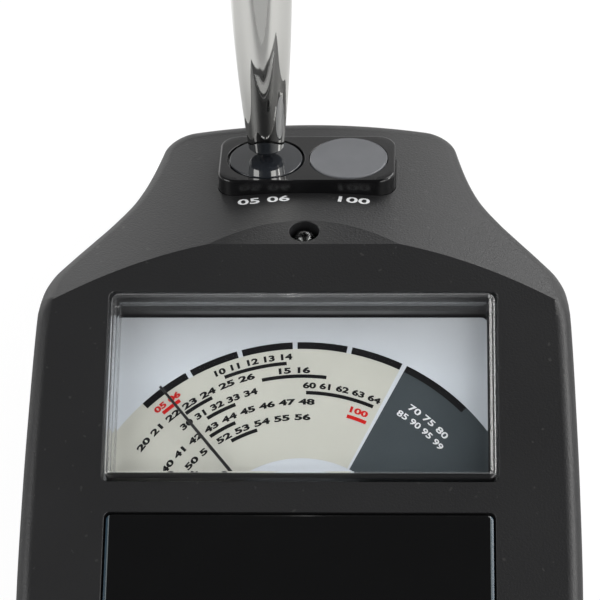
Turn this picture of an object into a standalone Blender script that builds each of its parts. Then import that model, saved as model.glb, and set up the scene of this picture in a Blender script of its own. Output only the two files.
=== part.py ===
"""Handheld diamond tester: a moulded case with an analogue meter, two test discs on its sloped end,
and a pen probe that stands tip down on the left disc.

Metres, +Z up. The origin is the middle of the flat underside, and +Y runs to the end with the discs.
"""

import math

import bmesh
import bpy
import numpy as np

# Fits shared by all pieces
GAP = 0.0003
OVERRUN = 0.002
BITE = 0.0006

# Case
CASE_LENGTH = 0.157
CASE_HALF_WIDTH = 0.0378
CASE_HEIGHT = 0.031
WALL = 0.0022
PARTING_HEIGHT = 0.0075
FRONT_EDGE_RADIUS = 0.0022
SLOPE_EDGE_RADIUS = 0.0013
BACK_EDGE_RADIUS = 0.003
FAR_CROWN = 0.0012
NEAR_CORNER = 0.016
FAR_CORNER = 0.0032
LIP_THICKNESS = 0.001
LIP_HEIGHT = 0.0012
WALL_DRAFT = math.radians(1.5)
BACK_DRAFT = math.radians(2.0)
# Half width along the case, as shares of half the length and of the half width
SIDE_SHARES = (
    (-1.0, 0.83), (-0.75, 0.885), (-0.5, 0.94), (-0.2, 0.985), (0.064, 1.0), (0.217, 0.997),
    (0.375, 0.989), (0.488, 0.981), (0.541, 0.975), (0.585, 0.963), (0.622, 0.934), (0.660, 0.874),
    (0.703, 0.798), (0.749, 0.720), (0.805, 0.647), (0.866, 0.599), (0.941, 0.559), (1.0, 0.534),
)
EDGE_BLEND_SHARES = (0.55, 0.75)
# How far the slope falls, as a share of the height above the parting plane
SLOPE_DROP_SHARE = 0.719572
# Sizes along the case, as shares of its length
NEAR_CROWN_SHARE = 0.031847
WINDOW_DEPTH_SHARE = 0.175796
PANEL_DEPTH_SHARE = 0.121019
BUTTON_SETBACK_SHARE = 0.22293
CELL_LENGTH_SHARE = 0.283439
BOARD_DEPTH_SHARE = 0.292994
YOKE_RADIUS_SHARE = 0.082803
# Sizes across the case, as shares of its half width
WINDOW_WIDTH_SHARE = 1.417989
PANEL_WIDTH_SHARE = 1.375661
DIAL_SCREW_SHARE = 0.555556
BOARD_WIDTH_SHARE = 1.164021
CONNECTOR_BOARD_SHARE = 0.793651
CONNECTOR_SPREAD_SHARE = 0.251323
CELL_RADIUS_SHARE = 0.138889

# Sloped end
CHAMFER_LEAD = 0.00143
SLOPE_CROWN_RADIUS = 0.0916
SLOPE_TILT = math.radians(34.0)
CHAMFER_TILT = math.radians(24.67)

# Window and the bare panel below it
WINDOW_SPACING = 0.0072
WINDOW_CORNER = 0.0008
PANEL_SPACING = 0.0047
PANEL_CORNER = 0.0008
PANEL_THICKNESS = 0.0008

# Meter
LENS_RISE = 0.0008
LENS_THICKNESS = 0.0015
LENS_SKIRT = 0.001
LENS_FLANGE = 0.0015
LENS_SLACK = 0.00035
NEEDLE_GATE_SHARE = 0.634
DIAL_DEPTH = 0.0044
DIAL_THICKNESS = 0.0006
DIAL_MARGIN = 0.0018
METER_DEPTH = 0.0125
METER_WALL = 0.0012
METER_MARGIN = 0.0036
NEEDLE_RISE = 0.0011
NEEDLE_LENGTH_SHARE = 1.123188
NEEDLE_WIDTH = 0.0005
NEEDLE_THICKNESS = 0.0003
NEEDLE_ANGLE = math.radians(39.2)
YOKE_HEIGHT = 0.0056
CORE_HEIGHT = 0.0032
COIL_THICKNESS = 0.0011
COIL_SLACK = 0.0006
PIVOT_RADIUS = 0.0004
JEWEL_RADIUS = 0.0013
BRIDGE_THICKNESS = 0.001
BRIDGE_WIDTH = 0.004
HAIRSPRING_RADIUS = 0.0038
HAIRSPRING_EYE = 0.0012
HAIRSPRING_STRIP = 0.00025
HAIRSPRING_TURNS = 3
LOWER_JEWEL_RISE = 0.0005
YOKE_LIFT = 0.0024
HUB_HEIGHT = 0.0005
HUB_RADIUS = 0.0015
# Sizes of the movement, as shares of its yoke's radius
YOKE_BORE_SHARE = 0.707692
CORE_RADIUS_SHARE = 0.461538
CORE_ARM_SHARE = 0.384615
DIAL_NOTCH_SHARE = 0.661538
DIAL_TAIL_SHARE = 0.576923
PIVOT_SPACING_SHARE = 0.721538
METER_TAIL_SHARE = 1.323077
NEEDLE_CRANK_SHARES = (0.446154, 0.6)
NEEDLE_TAIL_SHARE = 0.4
BRIDGE_POST_SHARE = 1.192308
DIAL_SCREW_RADIUS = 0.0008
DIAL_SCREW_HEAD = 0.0015
DIAL_SCREW_LENGTH = 0.003

# Test discs
BLOCK_WIDTH = 0.0254
BLOCK_DEPTH = 0.0127
BLOCK_RISE = 0.00196
BLOCK_SEAT = 0.0012
BLOCK_CORNER = 0.0028
BLOCK_SETBACK_SHARE = 0.57706
GLASS_RADIUS = 0.00525
GLASS_SLACK = 0.0004
REFERENCE_RADIUS = 0.0056
DISC_THICKNESS = 0.001
DISC_SPACING = 0.0119
DISC_SETBACK_SHARE = 0.57374
REFERENCE_RISE = 0.00015

# Status lamp
LAMP_RADIUS = 0.0015
LAMP_FLANGE = 0.0019
LAMP_LENGTH = 0.0052
LAMP_HOLE = 0.0021
LAMP_SETBACK = 0.0027

# Power button and switch
BUTTON_RADIUS = 0.006
BUTTON_RISE = 0.0006
BUTTON_FLANGE = 0.001
BUTTON_STEM = 0.002
SWITCH_WIDTH = 0.0062
PLUNGER_RADIUS = 0.0017
# Their heights, as shares of the room between the board and the ceiling
SWITCH_HEIGHT_SHARE = 0.34
STEM_LENGTH_SHARE = 0.19
PLUNGER_DEPTH_SHARE = 0.13
BUTTON_TRAVEL_SHARE = 0.0755

# Circuit boards and connectors
BOARD_THICKNESS = 0.0016
BOARD_POST = 0.0022
BOARD_LIFT = 0.0016
CONNECTOR_BOARD_DEPTH = 0.013
JACK_WIDTH = 0.0066
JACK_HEIGHT = 0.005
JACK_LENGTH = 0.0115
JACK_NOSE = 0.0024
JACK_BORE = 0.0018
PORT_WIDTH = 0.0077
PORT_HEIGHT = 0.0039
PORT_LENGTH = 0.0092
PORT_SHEET = 0.0005

# Batteries
BATTERY_NUB = 0.0019
BATTERY_SPACING = 0.0007
BATTERY_COUNT = 3
TUB_SIDE = 0.0023
TUB_TOP = 0.0015
CONTACT_THICKNESS = 0.0004
CONTACT_SPRING = 0.0036
CONTACT_WIRE = 0.00035
CONTACT_TURNS = 4
DOOR_THICKNESS = 0.0018
DOOR_TONGUE = 0.0012
DOOR_TONGUE_THICKNESS = 0.0009
DOOR_LAND = 0.0015
DOOR_GRIP_COUNT = 5
DOOR_GRIP_WIDTH = 0.0009
DOOR_GRIP_SPAN = 0.018

# Case screws
SCREW_HEAD = 0.0024
SCREW_HEAD_HEIGHT = 0.0017
SCREW_SHANK = 0.0012
SCREW_LENGTH = 0.009
SCREW_RECESS = 0.0005
SCREW_POST = 0.0036
# Screw places, as shares of half the length and of the case's half width
SCREW_SHARES = ((-0.80, 0.70), (0.765, 0.52))

# Pen probe, measured from the disc along its axis. It stands beyond the disc's centre, up the slope's length
PROBE_OFFSET = 0.00135
TIP_RADIUS = 0.00075
TIP_FLANGE = 0.0016
TIP_FLANGE_THICKNESS = 0.0008
TIP_STEM = 0.0095
NOSE_START = 0.00105
NOSE_MOUTH = 0.0022
NOSE_CHAMFER = 0.0004
NOSE_GUIDE = 0.0042
NOSE_END = 0.046
NOSE_RADIUS = 0.0046
# The nose's radius is the barrel's less this share, which fades towards the barrel by a power
NOSE_TAPER_SHARE = 0.4787
NOSE_CURVE = 2.507
NOSE_WALL = 0.0009
SPIGOT_LENGTH = 0.006
BARREL_END = 0.108
BARREL_WALL = 0.0009
TAIL_END = 0.120
TAIL_RADIUS = 0.003
CORD_BORE = 0.0017
TIP_SPRING_RADIUS = 0.0011
TIP_SPRING_WIRE = 0.0002
TIP_SPRING_LENGTH = 0.006
TIP_SPRING_TURNS = 7
CORE_ROD_RADIUS = 0.0018
CORE_ROD_LENGTH = 0.016

SHARP_ANGLE = math.radians(35.0)
ROUND_WEIGHT = math.cos(math.radians(45.0))

# Worked out from the sizes above
HALF_LENGTH = CASE_LENGTH / 2
NEAR_CROWN = CASE_LENGTH * NEAR_CROWN_SHARE
SLOPE_RUN = (CASE_HEIGHT - PARTING_HEIGHT) * SLOPE_DROP_SHARE / math.tan(SLOPE_TILT)
SLOPE_LENGTH = SLOPE_RUN / math.cos(SLOPE_TILT)
SLOPE_Y = HALF_LENGTH - SLOPE_RUN
CHAMFER_Y = SLOPE_Y - CHAMFER_LEAD
BLOCK_SETBACK = SLOPE_LENGTH * BLOCK_SETBACK_SHARE
DISC_SETBACK = SLOPE_LENGTH * DISC_SETBACK_SHARE
WINDOW_WIDTH = CASE_HALF_WIDTH * WINDOW_WIDTH_SHARE
WINDOW_DEPTH = CASE_LENGTH * WINDOW_DEPTH_SHARE
PANEL_WIDTH = CASE_HALF_WIDTH * PANEL_WIDTH_SHARE
PANEL_DEPTH = CASE_LENGTH * PANEL_DEPTH_SHARE
YOKE_RADIUS = CASE_LENGTH * YOKE_RADIUS_SHARE
YOKE_BORE = YOKE_RADIUS * YOKE_BORE_SHARE
CORE_RADIUS = YOKE_RADIUS * CORE_RADIUS_SHARE
CORE_ARM = YOKE_RADIUS * CORE_ARM_SHARE
DIAL_NOTCH = YOKE_RADIUS * DIAL_NOTCH_SHARE
DIAL_TAIL = YOKE_RADIUS * DIAL_TAIL_SHARE
METER_TAIL = YOKE_RADIUS * METER_TAIL_SHARE
NEEDLE_TAIL = YOKE_RADIUS * NEEDLE_TAIL_SHARE
NEEDLE_LENGTH = WINDOW_DEPTH * NEEDLE_LENGTH_SHARE
BRIDGE_POST_REACH = YOKE_RADIUS * BRIDGE_POST_SHARE
DIAL_SCREW_SPREAD = CASE_HALF_WIDTH * DIAL_SCREW_SHARE
CONNECTOR_SPREAD = CASE_HALF_WIDTH * CONNECTOR_SPREAD_SHARE
WINDOW_TOP = CHAMFER_Y - WINDOW_SPACING
WINDOW_Y = WINDOW_TOP - WINDOW_DEPTH / 2
WINDOW_BOTTOM = WINDOW_TOP - WINDOW_DEPTH
PANEL_Y = WINDOW_BOTTOM - PANEL_SPACING - PANEL_DEPTH / 2
PIVOT_Y = WINDOW_BOTTOM - YOKE_RADIUS * PIVOT_SPACING_SHARE
CEILING = CASE_HEIGHT - WALL
DIAL_TOP = CASE_HEIGHT - DIAL_DEPTH
DIAL_BOTTOM = DIAL_TOP - DIAL_THICKNESS
BUTTON_Y = PANEL_Y - CASE_LENGTH * BUTTON_SETBACK_SHARE
DOOR_BOTTOM = GAP
DOOR_TOP = DOOR_BOTTOM + DOOR_THICKNESS
FLOOR = DOOR_TOP + GAP
BATTERY_RADIUS = CASE_HALF_WIDTH * CELL_RADIUS_SHARE
BATTERY_LENGTH = CASE_LENGTH * CELL_LENGTH_SHARE
BATTERY_PITCH = 2 * BATTERY_RADIUS + BATTERY_SPACING
BATTERY_Z = DOOR_TOP + 2 * GAP + BATTERY_RADIUS
TUB_HALF_WIDTH = BATTERY_PITCH * (BATTERY_COUNT - 1) / 2 + BATTERY_RADIUS + 2 * GAP
TUB_CEILING = BATTERY_Z + BATTERY_RADIUS + GAP
TUB_NEAR = -HALF_LENGTH + NEAR_CROWN + WALL
SPRING_NEAR = TUB_NEAR + GAP
BATTERY_NEAR = SPRING_NEAR + CONTACT_SPRING + GAP
BATTERY_FAR = BATTERY_NEAR + BATTERY_LENGTH
TUB_FAR = BATTERY_FAR + 3 * GAP + CONTACT_THICKNESS
BOARD_BOTTOM = TUB_CEILING + TUB_TOP + BOARD_LIFT
BOARD_TOP = BOARD_BOTTOM + BOARD_THICKNESS
HEADROOM = CEILING - BOARD_TOP
DIAL_SCREW_Y = WINDOW_BOTTOM - DIAL_TAIL / 2
# Heights in the movement, from the tub's floor up
METER_FLOOR = DIAL_BOTTOM - METER_DEPTH + METER_WALL
LOWER_BRIDGE_Z = METER_FLOOR + GAP
YOKE_Z = LOWER_BRIDGE_Z + BRIDGE_THICKNESS + YOKE_LIFT
CORE_Z = YOKE_Z + (YOKE_HEIGHT - CORE_HEIGHT) / 2
COIL_BOTTOM = CORE_Z - COIL_SLACK - COIL_THICKNESS
COIL_TOP = CORE_Z + CORE_HEIGHT + COIL_SLACK + COIL_THICKNESS
HUB_Z = COIL_TOP + GAP
UPPER_BRIDGE_Z = HUB_Z + HUB_HEIGHT + GAP + 2 * HAIRSPRING_STRIP + GAP
JEWEL_HEIGHT = BRIDGE_THICKNESS + 2 * GAP
NEEDLE_Z = DIAL_TOP + NEEDLE_RISE


def clear_scene():
    for obj in list(bpy.data.objects):
        bpy.data.objects.remove(obj, do_unlink=True)


def material(name, colour, roughness, metallic=0.0):
    """A plain finish, made once and shared by name."""
    made = bpy.data.materials.get(name)
    if made is None:
        made = bpy.data.materials.new(name)
        made.use_nodes = True
        shader = made.node_tree.nodes["Principled BSDF"]
        shader.inputs["Base Color"].default_value = (*colour, 1.0)
        shader.inputs["Roughness"].default_value = roughness
        shader.inputs["Metallic"].default_value = metallic
    return made


def charcoal():
    return material("charcoal_plastic", (0.022, 0.022, 0.024), 0.55)


def gloss_black():
    return material("gloss_black", (0.008, 0.008, 0.009), 0.12)


def chrome():
    return material("chrome", (0.75, 0.75, 0.73), 0.08, 1.0)


def steel():
    return material("bright_steel", (0.55, 0.55, 0.56), 0.3, 1.0)


def brass():
    return material("brass", (0.72, 0.52, 0.22), 0.3, 1.0)


def copper():
    return material("copper", (0.75, 0.36, 0.22), 0.3, 1.0)


def black_plastic():
    return material("black_plastic", (0.015, 0.015, 0.016), 0.4)


def add_empty(name, location, tilt=0.0, turn=0.0):
    """A guide that carries the pieces of one mechanism, tilted about X or turned about Z."""
    empty = bpy.data.objects.new(name, None)
    bpy.context.scene.collection.objects.link(empty)
    empty.location = location
    empty.rotation_euler = (tilt, 0, turn)
    return empty


def add_object(name, bm, finish=None, parent=None, location=(0, 0, 0), rotation=(0, 0, 0)):
    """Turns a bmesh into a named object. One with no finish is a cutter, which isn't rendered."""
    bmesh.ops.recalc_face_normals(bm, faces=bm.faces)
    mesh = bpy.data.meshes.new(name)
    bm.to_mesh(mesh)
    bm.free()
    mesh.shade_smooth()
    mesh.set_sharp_from_angle(angle=SHARP_ANGLE)
    obj = bpy.data.objects.new(name, mesh)
    bpy.context.scene.collection.objects.link(obj)
    obj.parent = parent
    obj.location = location
    obj.rotation_euler = rotation
    if finish is None:
        obj.hide_render = True
        obj.display_type = "WIRE"
    else:
        mesh.materials.append(finish)
    return obj


def boolean(obj, other, operation="DIFFERENCE"):
    modifier = obj.modifiers.new(other.name, "BOOLEAN")
    modifier.operation = operation
    modifier.object = other
    return obj


def bridge(bm, first, second):
    """Quads between two closed rings of the same count."""
    count = len(first)
    for i in range(count):
        j = (i + 1) % count
        bm.faces.new((first[i], first[j], second[j], second[i]))


def prism(outline, bottom, top):
    """A bmesh of an outline in X and Y, carried from one height to the other."""
    bm = bmesh.new()
    low = [bm.verts.new((x, y, bottom)) for x, y in outline]
    high = [bm.verts.new((x, y, top)) for x, y in outline]
    bridge(bm, low, high)
    bm.faces.new(low)
    bm.faces.new(high)
    return bm


def rectangle(width, depth, x=0.0, y=0.0):
    across, along = width / 2, depth / 2
    return [(x - across, y - along), (x + across, y - along), (x + across, y + along), (x - across, y + along)]


def rounded_rectangle(width, depth, radius, x=0.0, y=0.0, steps=4):
    """Outline of a rectangle with arcs of `steps` chords at its corners."""
    outline = []
    for quarter, (side, end) in enumerate(((1, 1), (-1, 1), (-1, -1), (1, -1))):
        for step in range(steps + 1):
            angle = math.pi / 2 * (quarter + step / steps)
            outline.append((
                x + side * (width / 2 - radius) + radius * math.cos(angle),
                y + end * (depth / 2 - radius) + radius * math.sin(angle),
            ))
    return outline


def circle(radius, sides, x=0.0, y=0.0):
    turns = [2 * math.pi * (i + 0.5) / sides for i in range(sides)]
    return [(x + radius * math.cos(a), y + radius * math.sin(a)) for a in turns]


def turned(profile, sides):
    """A bmesh turned about Z from (radius, height) points. A profile off the axis is a closed section."""
    bm = bmesh.new()
    rings = []
    for radius, height in profile:
        if radius == 0:
            rings.append([bm.verts.new((0, 0, height))])
        else:
            rings.append([bm.verts.new((x, y, height)) for x, y in circle(radius, sides)])
    pairs = list(zip(rings, rings[1:]))
    if profile[0][0] > 0 and profile[-1][0] > 0:
        pairs.append((rings[-1], rings[0]))
    for first, second in pairs:
        if len(first) == 1 or len(second) == 1:
            point, ring = (first[0], second) if len(first) == 1 else (second[0], first)
            for i in range(sides):
                bm.faces.new((point, ring[i], ring[(i + 1) % sides]))
        else:
            bridge(bm, first, second)
    return bm


def disc_profile(radius, bottom, top):
    return [(0.0, bottom), (radius, bottom), (radius, top), (0.0, top)]


def tube_profile(outer, inner, bottom, top):
    return [(inner, bottom), (outer, bottom), (outer, top), (inner, top)]


def coil(name, radii, heights, turns, wire, finish, parent=None, location=(0, 0, 0), rotation=(0, 0, 0)):
    """A wound wire spring: a helix whose radius and height go evenly from the first to the second value."""
    per_turn = 9
    share = np.linspace(0.0, 1.0, turns * per_turn + 1)
    angle = 2 * math.pi * turns * share
    radius = radii[0] + (radii[1] - radii[0]) * share
    height = heights[0] + (heights[1] - heights[0]) * share
    curve = bpy.data.curves.new(name, "CURVE")
    curve.dimensions = "3D"
    curve.bevel_depth = wire
    curve.bevel_resolution = 0
    curve.use_fill_caps = True
    spline = curve.splines.new("POLY")
    spline.points.add(len(share) - 1)
    points = np.stack([radius * np.cos(angle), radius * np.sin(angle), height, np.ones_like(share)], axis=1)
    spline.points.foreach_set("co", points.ravel())
    obj = bpy.data.objects.new(name, curve)
    bpy.context.scene.collection.objects.link(obj)
    curve.materials.append(finish)
    obj.parent = parent
    obj.location = location
    obj.rotation_euler = rotation
    return obj


def smooth_curve(shares, at):
    """Value at `at` on a smooth curve through pairs of shares, which never overshoots between two pairs."""
    x, y = np.array(shares).T
    step = np.diff(x)
    rise = np.diff(y) / step
    slope = np.zeros(len(x))
    same_way = rise[:-1] * rise[1:] > 0
    slope[1:-1][same_way] = 2 * (rise[:-1] * rise[1:])[same_way] / (rise[:-1] + rise[1:])[same_way]
    slope[0], slope[-1] = rise[0], rise[-1]
    i = np.clip(np.searchsorted(x, at) - 1, 0, len(step) - 1)
    t = (at - x[i]) / step[i]
    start = (1 + 2 * t) * (1 - t) ** 2 * y[i] + t * (1 - t) ** 2 * step[i] * slope[i]
    end = t * t * (3 - 2 * t) * y[i + 1] + t * t * (t - 1) * step[i] * slope[i + 1]
    return start + end


def rounded(start, corner, end, steps):
    """Points of a round from start to end, whose tangents meet at the corner."""
    t = np.linspace(0.0, 1.0, steps + 1).reshape(-1, *[1] * np.ndim(start))
    pull = 2 * ROUND_WEIGHT * t * (1 - t)
    return ((1 - t) ** 2 * start + pull * corner + t**2 * end) / ((1 - t) ** 2 + pull + t**2)


def bisect(gap, low, high):
    """The place between low and high where gap changes sign."""
    low_sign = gap(low) > 0
    for _ in range(40):
        middle = (low + high) / 2
        if (gap(middle) > 0) == low_sign:
            low = middle
        else:
            high = middle
    return (low + high) / 2


class Outline:
    """Right half of the case's plan outline, from the near end's middle to the far end's middle."""

    def __init__(self):
        near = self.near_edge(np.linspace(0.0, self.half_width(-HALF_LENGTH) - NEAR_CORNER, 40))
        side_y = np.linspace(-HALF_LENGTH + NEAR_CROWN + NEAR_CORNER, HALF_LENGTH - FAR_CROWN - FAR_CORNER, 400)
        side = np.stack([self.half_width(side_y), side_y], axis=1)
        far = self.far_edge(np.linspace(self.half_width(HALF_LENGTH) - FAR_CORNER, 0.0, 60))
        near_round = rounded(near[-1], self.meet(near[-2:], side[1::-1]), side[0], 24)
        far_round = rounded(side[-1], self.meet(side[-2:], far[1::-1]), far[0], 24)
        pieces = [near, near_round[1:-1], side, far_round[1:-1], far]
        self.points = np.concatenate(pieces)
        steps = np.linalg.norm(np.diff(self.points, axis=0), axis=1)
        travelled = np.concatenate([[0.0], np.cumsum(steps)])
        self.shares = travelled / travelled[-1]
        ends = np.cumsum([len(piece) for piece in pieces])
        self.near_round_start = self.shares[ends[0] - 1]
        self.side_start = self.shares[ends[1]]
        self.side_end = self.shares[ends[2] - 1]
        self.far_start = self.shares[ends[3]]
        tangent = np.gradient(self.points, self.shares, axis=0)
        tangent[0] = (1, 0)
        tangent[-1] = (-1, 0)
        tangent /= np.linalg.norm(tangent, axis=1)[:, None]
        self.outward = np.stack([tangent[:, 1], -tangent[:, 0]], axis=1)

    def half_width(self, y):
        return CASE_HALF_WIDTH * smooth_curve(SIDE_SHARES, np.asarray(y) / HALF_LENGTH)

    def near_edge(self, x):
        return np.stack([x, -HALF_LENGTH + NEAR_CROWN * (x / self.half_width(-HALF_LENGTH)) ** 2], axis=1)

    def far_edge(self, x):
        return np.stack([x, HALF_LENGTH - FAR_CROWN * (x / self.half_width(HALF_LENGTH)) ** 2], axis=1)

    def meet(self, first, second):
        """Where the line through two points meets the line through two others."""
        a, b = first[0], first[1] - first[0]
        c, d = second[0], second[1] - second[0]
        across = b[0] * d[1] - b[1] * d[0]
        return a + b * ((c[0] - a[0]) * d[1] - (c[1] - a[1]) * d[0]) / across

    def at(self, share, inset):
        """Points at shares of the outline's length, moved in by the inset."""
        share = np.asarray(share)
        place = np.stack([np.interp(share, self.shares, self.points[:, k]) for k in (0, 1)], axis=-1)
        out = np.stack([np.interp(share, self.shares, self.outward[:, k]) for k in (0, 1)], axis=-1)
        moved = place - out * np.asarray(inset)[..., None]
        moved[..., 0] = np.where((share == 0) | (share == 1), 0.0, moved[..., 0])
        return moved


class Top:
    """The case's upper surface: a level face, a chamfer facet and a crowned slope, lowered by a wall."""

    def __init__(self, wall):
        self.level = CASE_HEIGHT - wall
        self.chamfer = CASE_HEIGHT - wall / math.cos(CHAMFER_TILT)
        self.slope = CASE_HEIGHT - wall / math.cos(SLOPE_TILT)
        self.chamfer_fall = math.tan(CHAMFER_TILT)
        self.slope_fall = math.tan(SLOPE_TILT)

    def height(self, x, y):
        chamfer = self.chamfer - self.chamfer_fall * (y - CHAMFER_Y)
        slope = self.slope - self.slope_fall * (y - SLOPE_Y) - x**2 / (2 * SLOPE_CROWN_RADIUS)
        return np.minimum(self.level, np.minimum(chamfer, slope))

    def crease(self, x):
        """Y of the line where the slope begins, at X."""
        drop = x**2 / (2 * SLOPE_CROWN_RADIUS)
        from_level = SLOPE_Y + (self.slope - self.level - drop) / self.slope_fall
        over = self.slope + self.slope_fall * SLOPE_Y - self.chamfer - self.chamfer_fall * CHAMFER_Y
        from_chamfer = (over - drop) / (self.slope_fall - self.chamfer_fall)
        return np.maximum(from_level, from_chamfer)

    def fold_y(self):
        """Y of the straight fold between the level face and the chamfer."""
        return CHAMFER_Y + (self.chamfer - self.level) / self.chamfer_fall

    def fold_x(self):
        """Half the width of that fold."""
        down = self.slope - self.level - self.slope_fall * (self.fold_y() - SLOPE_Y)
        return math.sqrt(2 * SLOPE_CROWN_RADIUS * down)


def edge_radius(y):
    """The upper edge's radius, which gets smaller from the shoulders to the slope."""
    start, end = (share * HALF_LENGTH for share in EDGE_BLEND_SHARES)
    blend = np.clip((y - start) / (end - start), 0.0, 1.0)
    return FRONT_EDGE_RADIUS + (SLOPE_EDGE_RADIUS - FRONT_EDGE_RADIUS) * blend


def both_sides(right):
    """A full ring from the points of the right half, first and last on the middle line."""
    left = right[-2:0:-1] * np.array([-1, 1, 1])
    return np.concatenate([right, left])


def add_ring(bm, points):
    return [bm.verts.new(point) for point in points]


def ring_at(outline, share, inset, height):
    plan = outline.at(share, inset)
    return np.column_stack([plan, np.broadcast_to(height, len(plan))])


def crossing_shares(outline, top, inset, rounded_edge):
    """Shares where the top's inner ring meets the slope's crease and passes the fold's end."""

    def ring_point(share):
        edge = outline.at(share, 0.0)
        return outline.at(share, inset + (edge_radius(edge[1]) if rounded_edge else 0.0))

    def past_crease(share):
        x, y = ring_point(share)
        return y - top.crease(x)

    crease = bisect(past_crease, outline.side_start, outline.side_end)
    fold = bisect(lambda share: ring_point(share)[0] - top.fold_x(), outline.far_start, 1.0)
    return crease, fold


def front_shares(outline, top, inset, rounded_edge):
    """Sample places for one skin of the front shell, with the indexes of the crease and the fold."""
    crease, fold = crossing_shares(outline, top, inset, rounded_edge)
    stops = (0.0, outline.near_round_start, outline.side_start, crease, outline.side_end, outline.far_start, fold, 1.0)
    counts = (3, 6, 10, 16, 5, 2, 4)
    spans = [np.linspace(a, b, count, endpoint=False) for a, b, count in zip(stops, stops[1:], counts)]
    return np.concatenate([*spans, [1.0]]), sum(counts[:3]), sum(counts[:6])


def add_top(bm, ring, top, crease_index, fold_index):
    """Closes a ring with the level face, the chamfer and the strips of the crowned slope."""
    count = len(ring)

    def crease_vertex(i):
        if i in (crease_index, count - crease_index):
            return ring[i]
        x = ring[i].co.x
        y = float(top.crease(x))
        return bm.verts.new((x, y, float(top.height(x, y))))

    indexes = range(crease_index, count - crease_index + 1)
    line = {i: crease_vertex(i) for i in indexes}
    for i in indexes[:-1]:
        corners = [ring[i], ring[i + 1], line[i + 1], line[i]]
        bm.faces.new([v for k, v in enumerate(corners) if v not in corners[:k]])
    right = [line[i] for i in range(crease_index + 1, fold_index + 1)]
    left = [line[i] for i in range(count - fold_index, count - crease_index)]
    bm.faces.new(ring[: crease_index + 1] + right + left + ring[count - crease_index :])
    bm.faces.new([line[i] for i in range(fold_index, count - fold_index + 1)])


def draft_out(height):
    """How far the drafted wall stands out at a height, below the level of the front face."""
    return math.tan(WALL_DRAFT) * (CASE_HEIGHT - height)


def front_skins(outline):
    """The front shell's outer and inner skins, joined by the stepped rim at the parting plane."""
    bm = bmesh.new()
    outer_top, inner_top = Top(0.0), Top(WALL)
    share, crease, fold = front_shares(outline, outer_top, 0.0, True)
    edge = outline.at(share, 0.0)
    radius = edge_radius(edge[:, 1])
    inner = outline.at(share, radius)
    start = np.column_stack([inner, outer_top.height(*inner.T)])
    edge_height = outer_top.height(*edge.T)
    corner = np.column_stack([outline.at(share, -draft_out(edge_height)), edge_height])
    wall_height = edge_height - radius
    end = np.column_stack([outline.at(share, -draft_out(wall_height)), wall_height])
    rings = [add_ring(bm, both_sides(points)) for points in rounded(start, corner, end, 4)]
    add_top(bm, rings[0], outer_top, crease, fold)

    rim = PARTING_HEIGHT + LIP_HEIGHT + 2 * GAP
    base_out = draft_out(PARTING_HEIGHT)
    rings.append(add_ring(bm, both_sides(ring_at(outline, share, -base_out, PARTING_HEIGHT))))
    share, crease, fold = front_shares(outline, inner_top, WALL, False)
    rings.append(add_ring(bm, both_sides(ring_at(outline, share, LIP_THICKNESS - base_out, PARTING_HEIGHT))))
    rings.append(add_ring(bm, both_sides(ring_at(outline, share, LIP_THICKNESS - base_out, rim))))
    rings.append(add_ring(bm, both_sides(ring_at(outline, share, WALL - base_out, rim))))
    inner = outline.at(share, WALL)
    inner_ring = add_ring(bm, both_sides(np.column_stack([inner, inner_top.height(*inner.T)])))
    rings.append(inner_ring)
    add_top(bm, inner_ring, inner_top, crease, fold)
    for first, second in zip(rings, rings[1:]):
        bridge(bm, first, second)
    return bm


def back_shares(outline):
    stops = (0.0, outline.near_round_start, outline.side_start, outline.side_end, outline.far_start, 1.0)
    counts = (2, 5, 18, 4, 4)
    spans = [np.linspace(a, b, count, endpoint=False) for a, b, count in zip(stops, stops[1:], counts)]
    return np.concatenate([*spans, [1.0]])


def back_out(height):
    """How far the back shell's wall stands out at a height below the parting plane."""
    return draft_out(PARTING_HEIGHT) - math.tan(BACK_DRAFT) * (PARTING_HEIGHT - height)


def back_outer_rings(outline, top_height):
    """Rings of the back shell's outer skin, from the flat underside up."""
    share = back_shares(outline)
    low = ring_at(outline, share, BACK_EDGE_RADIUS - back_out(0.0), 0.0)
    corner = ring_at(outline, share, -back_out(0.0), 0.0)
    high = ring_at(outline, share, -back_out(BACK_EDGE_RADIUS), BACK_EDGE_RADIUS)
    rings = [both_sides(points) for points in rounded(low, corner, high, 4)]
    rings.append(both_sides(ring_at(outline, share, -back_out(top_height), top_height)))
    return rings


def back_skins(outline):
    bm = bmesh.new()
    rim = PARTING_HEIGHT - GAP
    lip = PARTING_HEIGHT + LIP_HEIGHT
    out = back_out(rim)
    share = back_shares(outline)
    rings = [add_ring(bm, points) for points in back_outer_rings(outline, rim)]
    bm.faces.new(rings[0])
    for inset, height in (
        (LIP_THICKNESS + GAP - out, rim),
        (LIP_THICKNESS + GAP - out, lip),
        (WALL + GAP - out, lip),
        (WALL + GAP - back_out(FLOOR), FLOOR),
    ):
        rings.append(add_ring(bm, both_sides(ring_at(outline, share, inset, height))))
    bm.faces.new(rings[-1])
    for first, second in zip(rings, rings[1:]):
        bridge(bm, first, second)
    return bm


def back_block(outline):
    """The back shell's outer shape, filled, to trim what ends flush with it."""
    bm = bmesh.new()
    rings = [add_ring(bm, points) for points in back_outer_rings(outline, PARTING_HEIGHT - GAP)]
    bm.faces.new(rings[0])
    bm.faces.new(rings[-1])
    for first, second in zip(rings, rings[1:]):
        bridge(bm, first, second)
    return bm


def screw_places():
    for along, across in SCREW_SHARES:
        for side in (-1, 1):
            yield side * across * CASE_HALF_WIDTH, along * HALF_LENGTH


def lamp_place():
    """Where the status lamp's axis passes the chamfer."""
    y = CHAMFER_Y + LAMP_SETBACK * math.cos(CHAMFER_TILT)
    return (0, y, CASE_HEIGHT - LAMP_SETBACK * math.sin(CHAMFER_TILT))


def jack_z():
    return FLOOR + GAP + BOARD_THICKNESS + GAP + JACK_HEIGHT / 2


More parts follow.
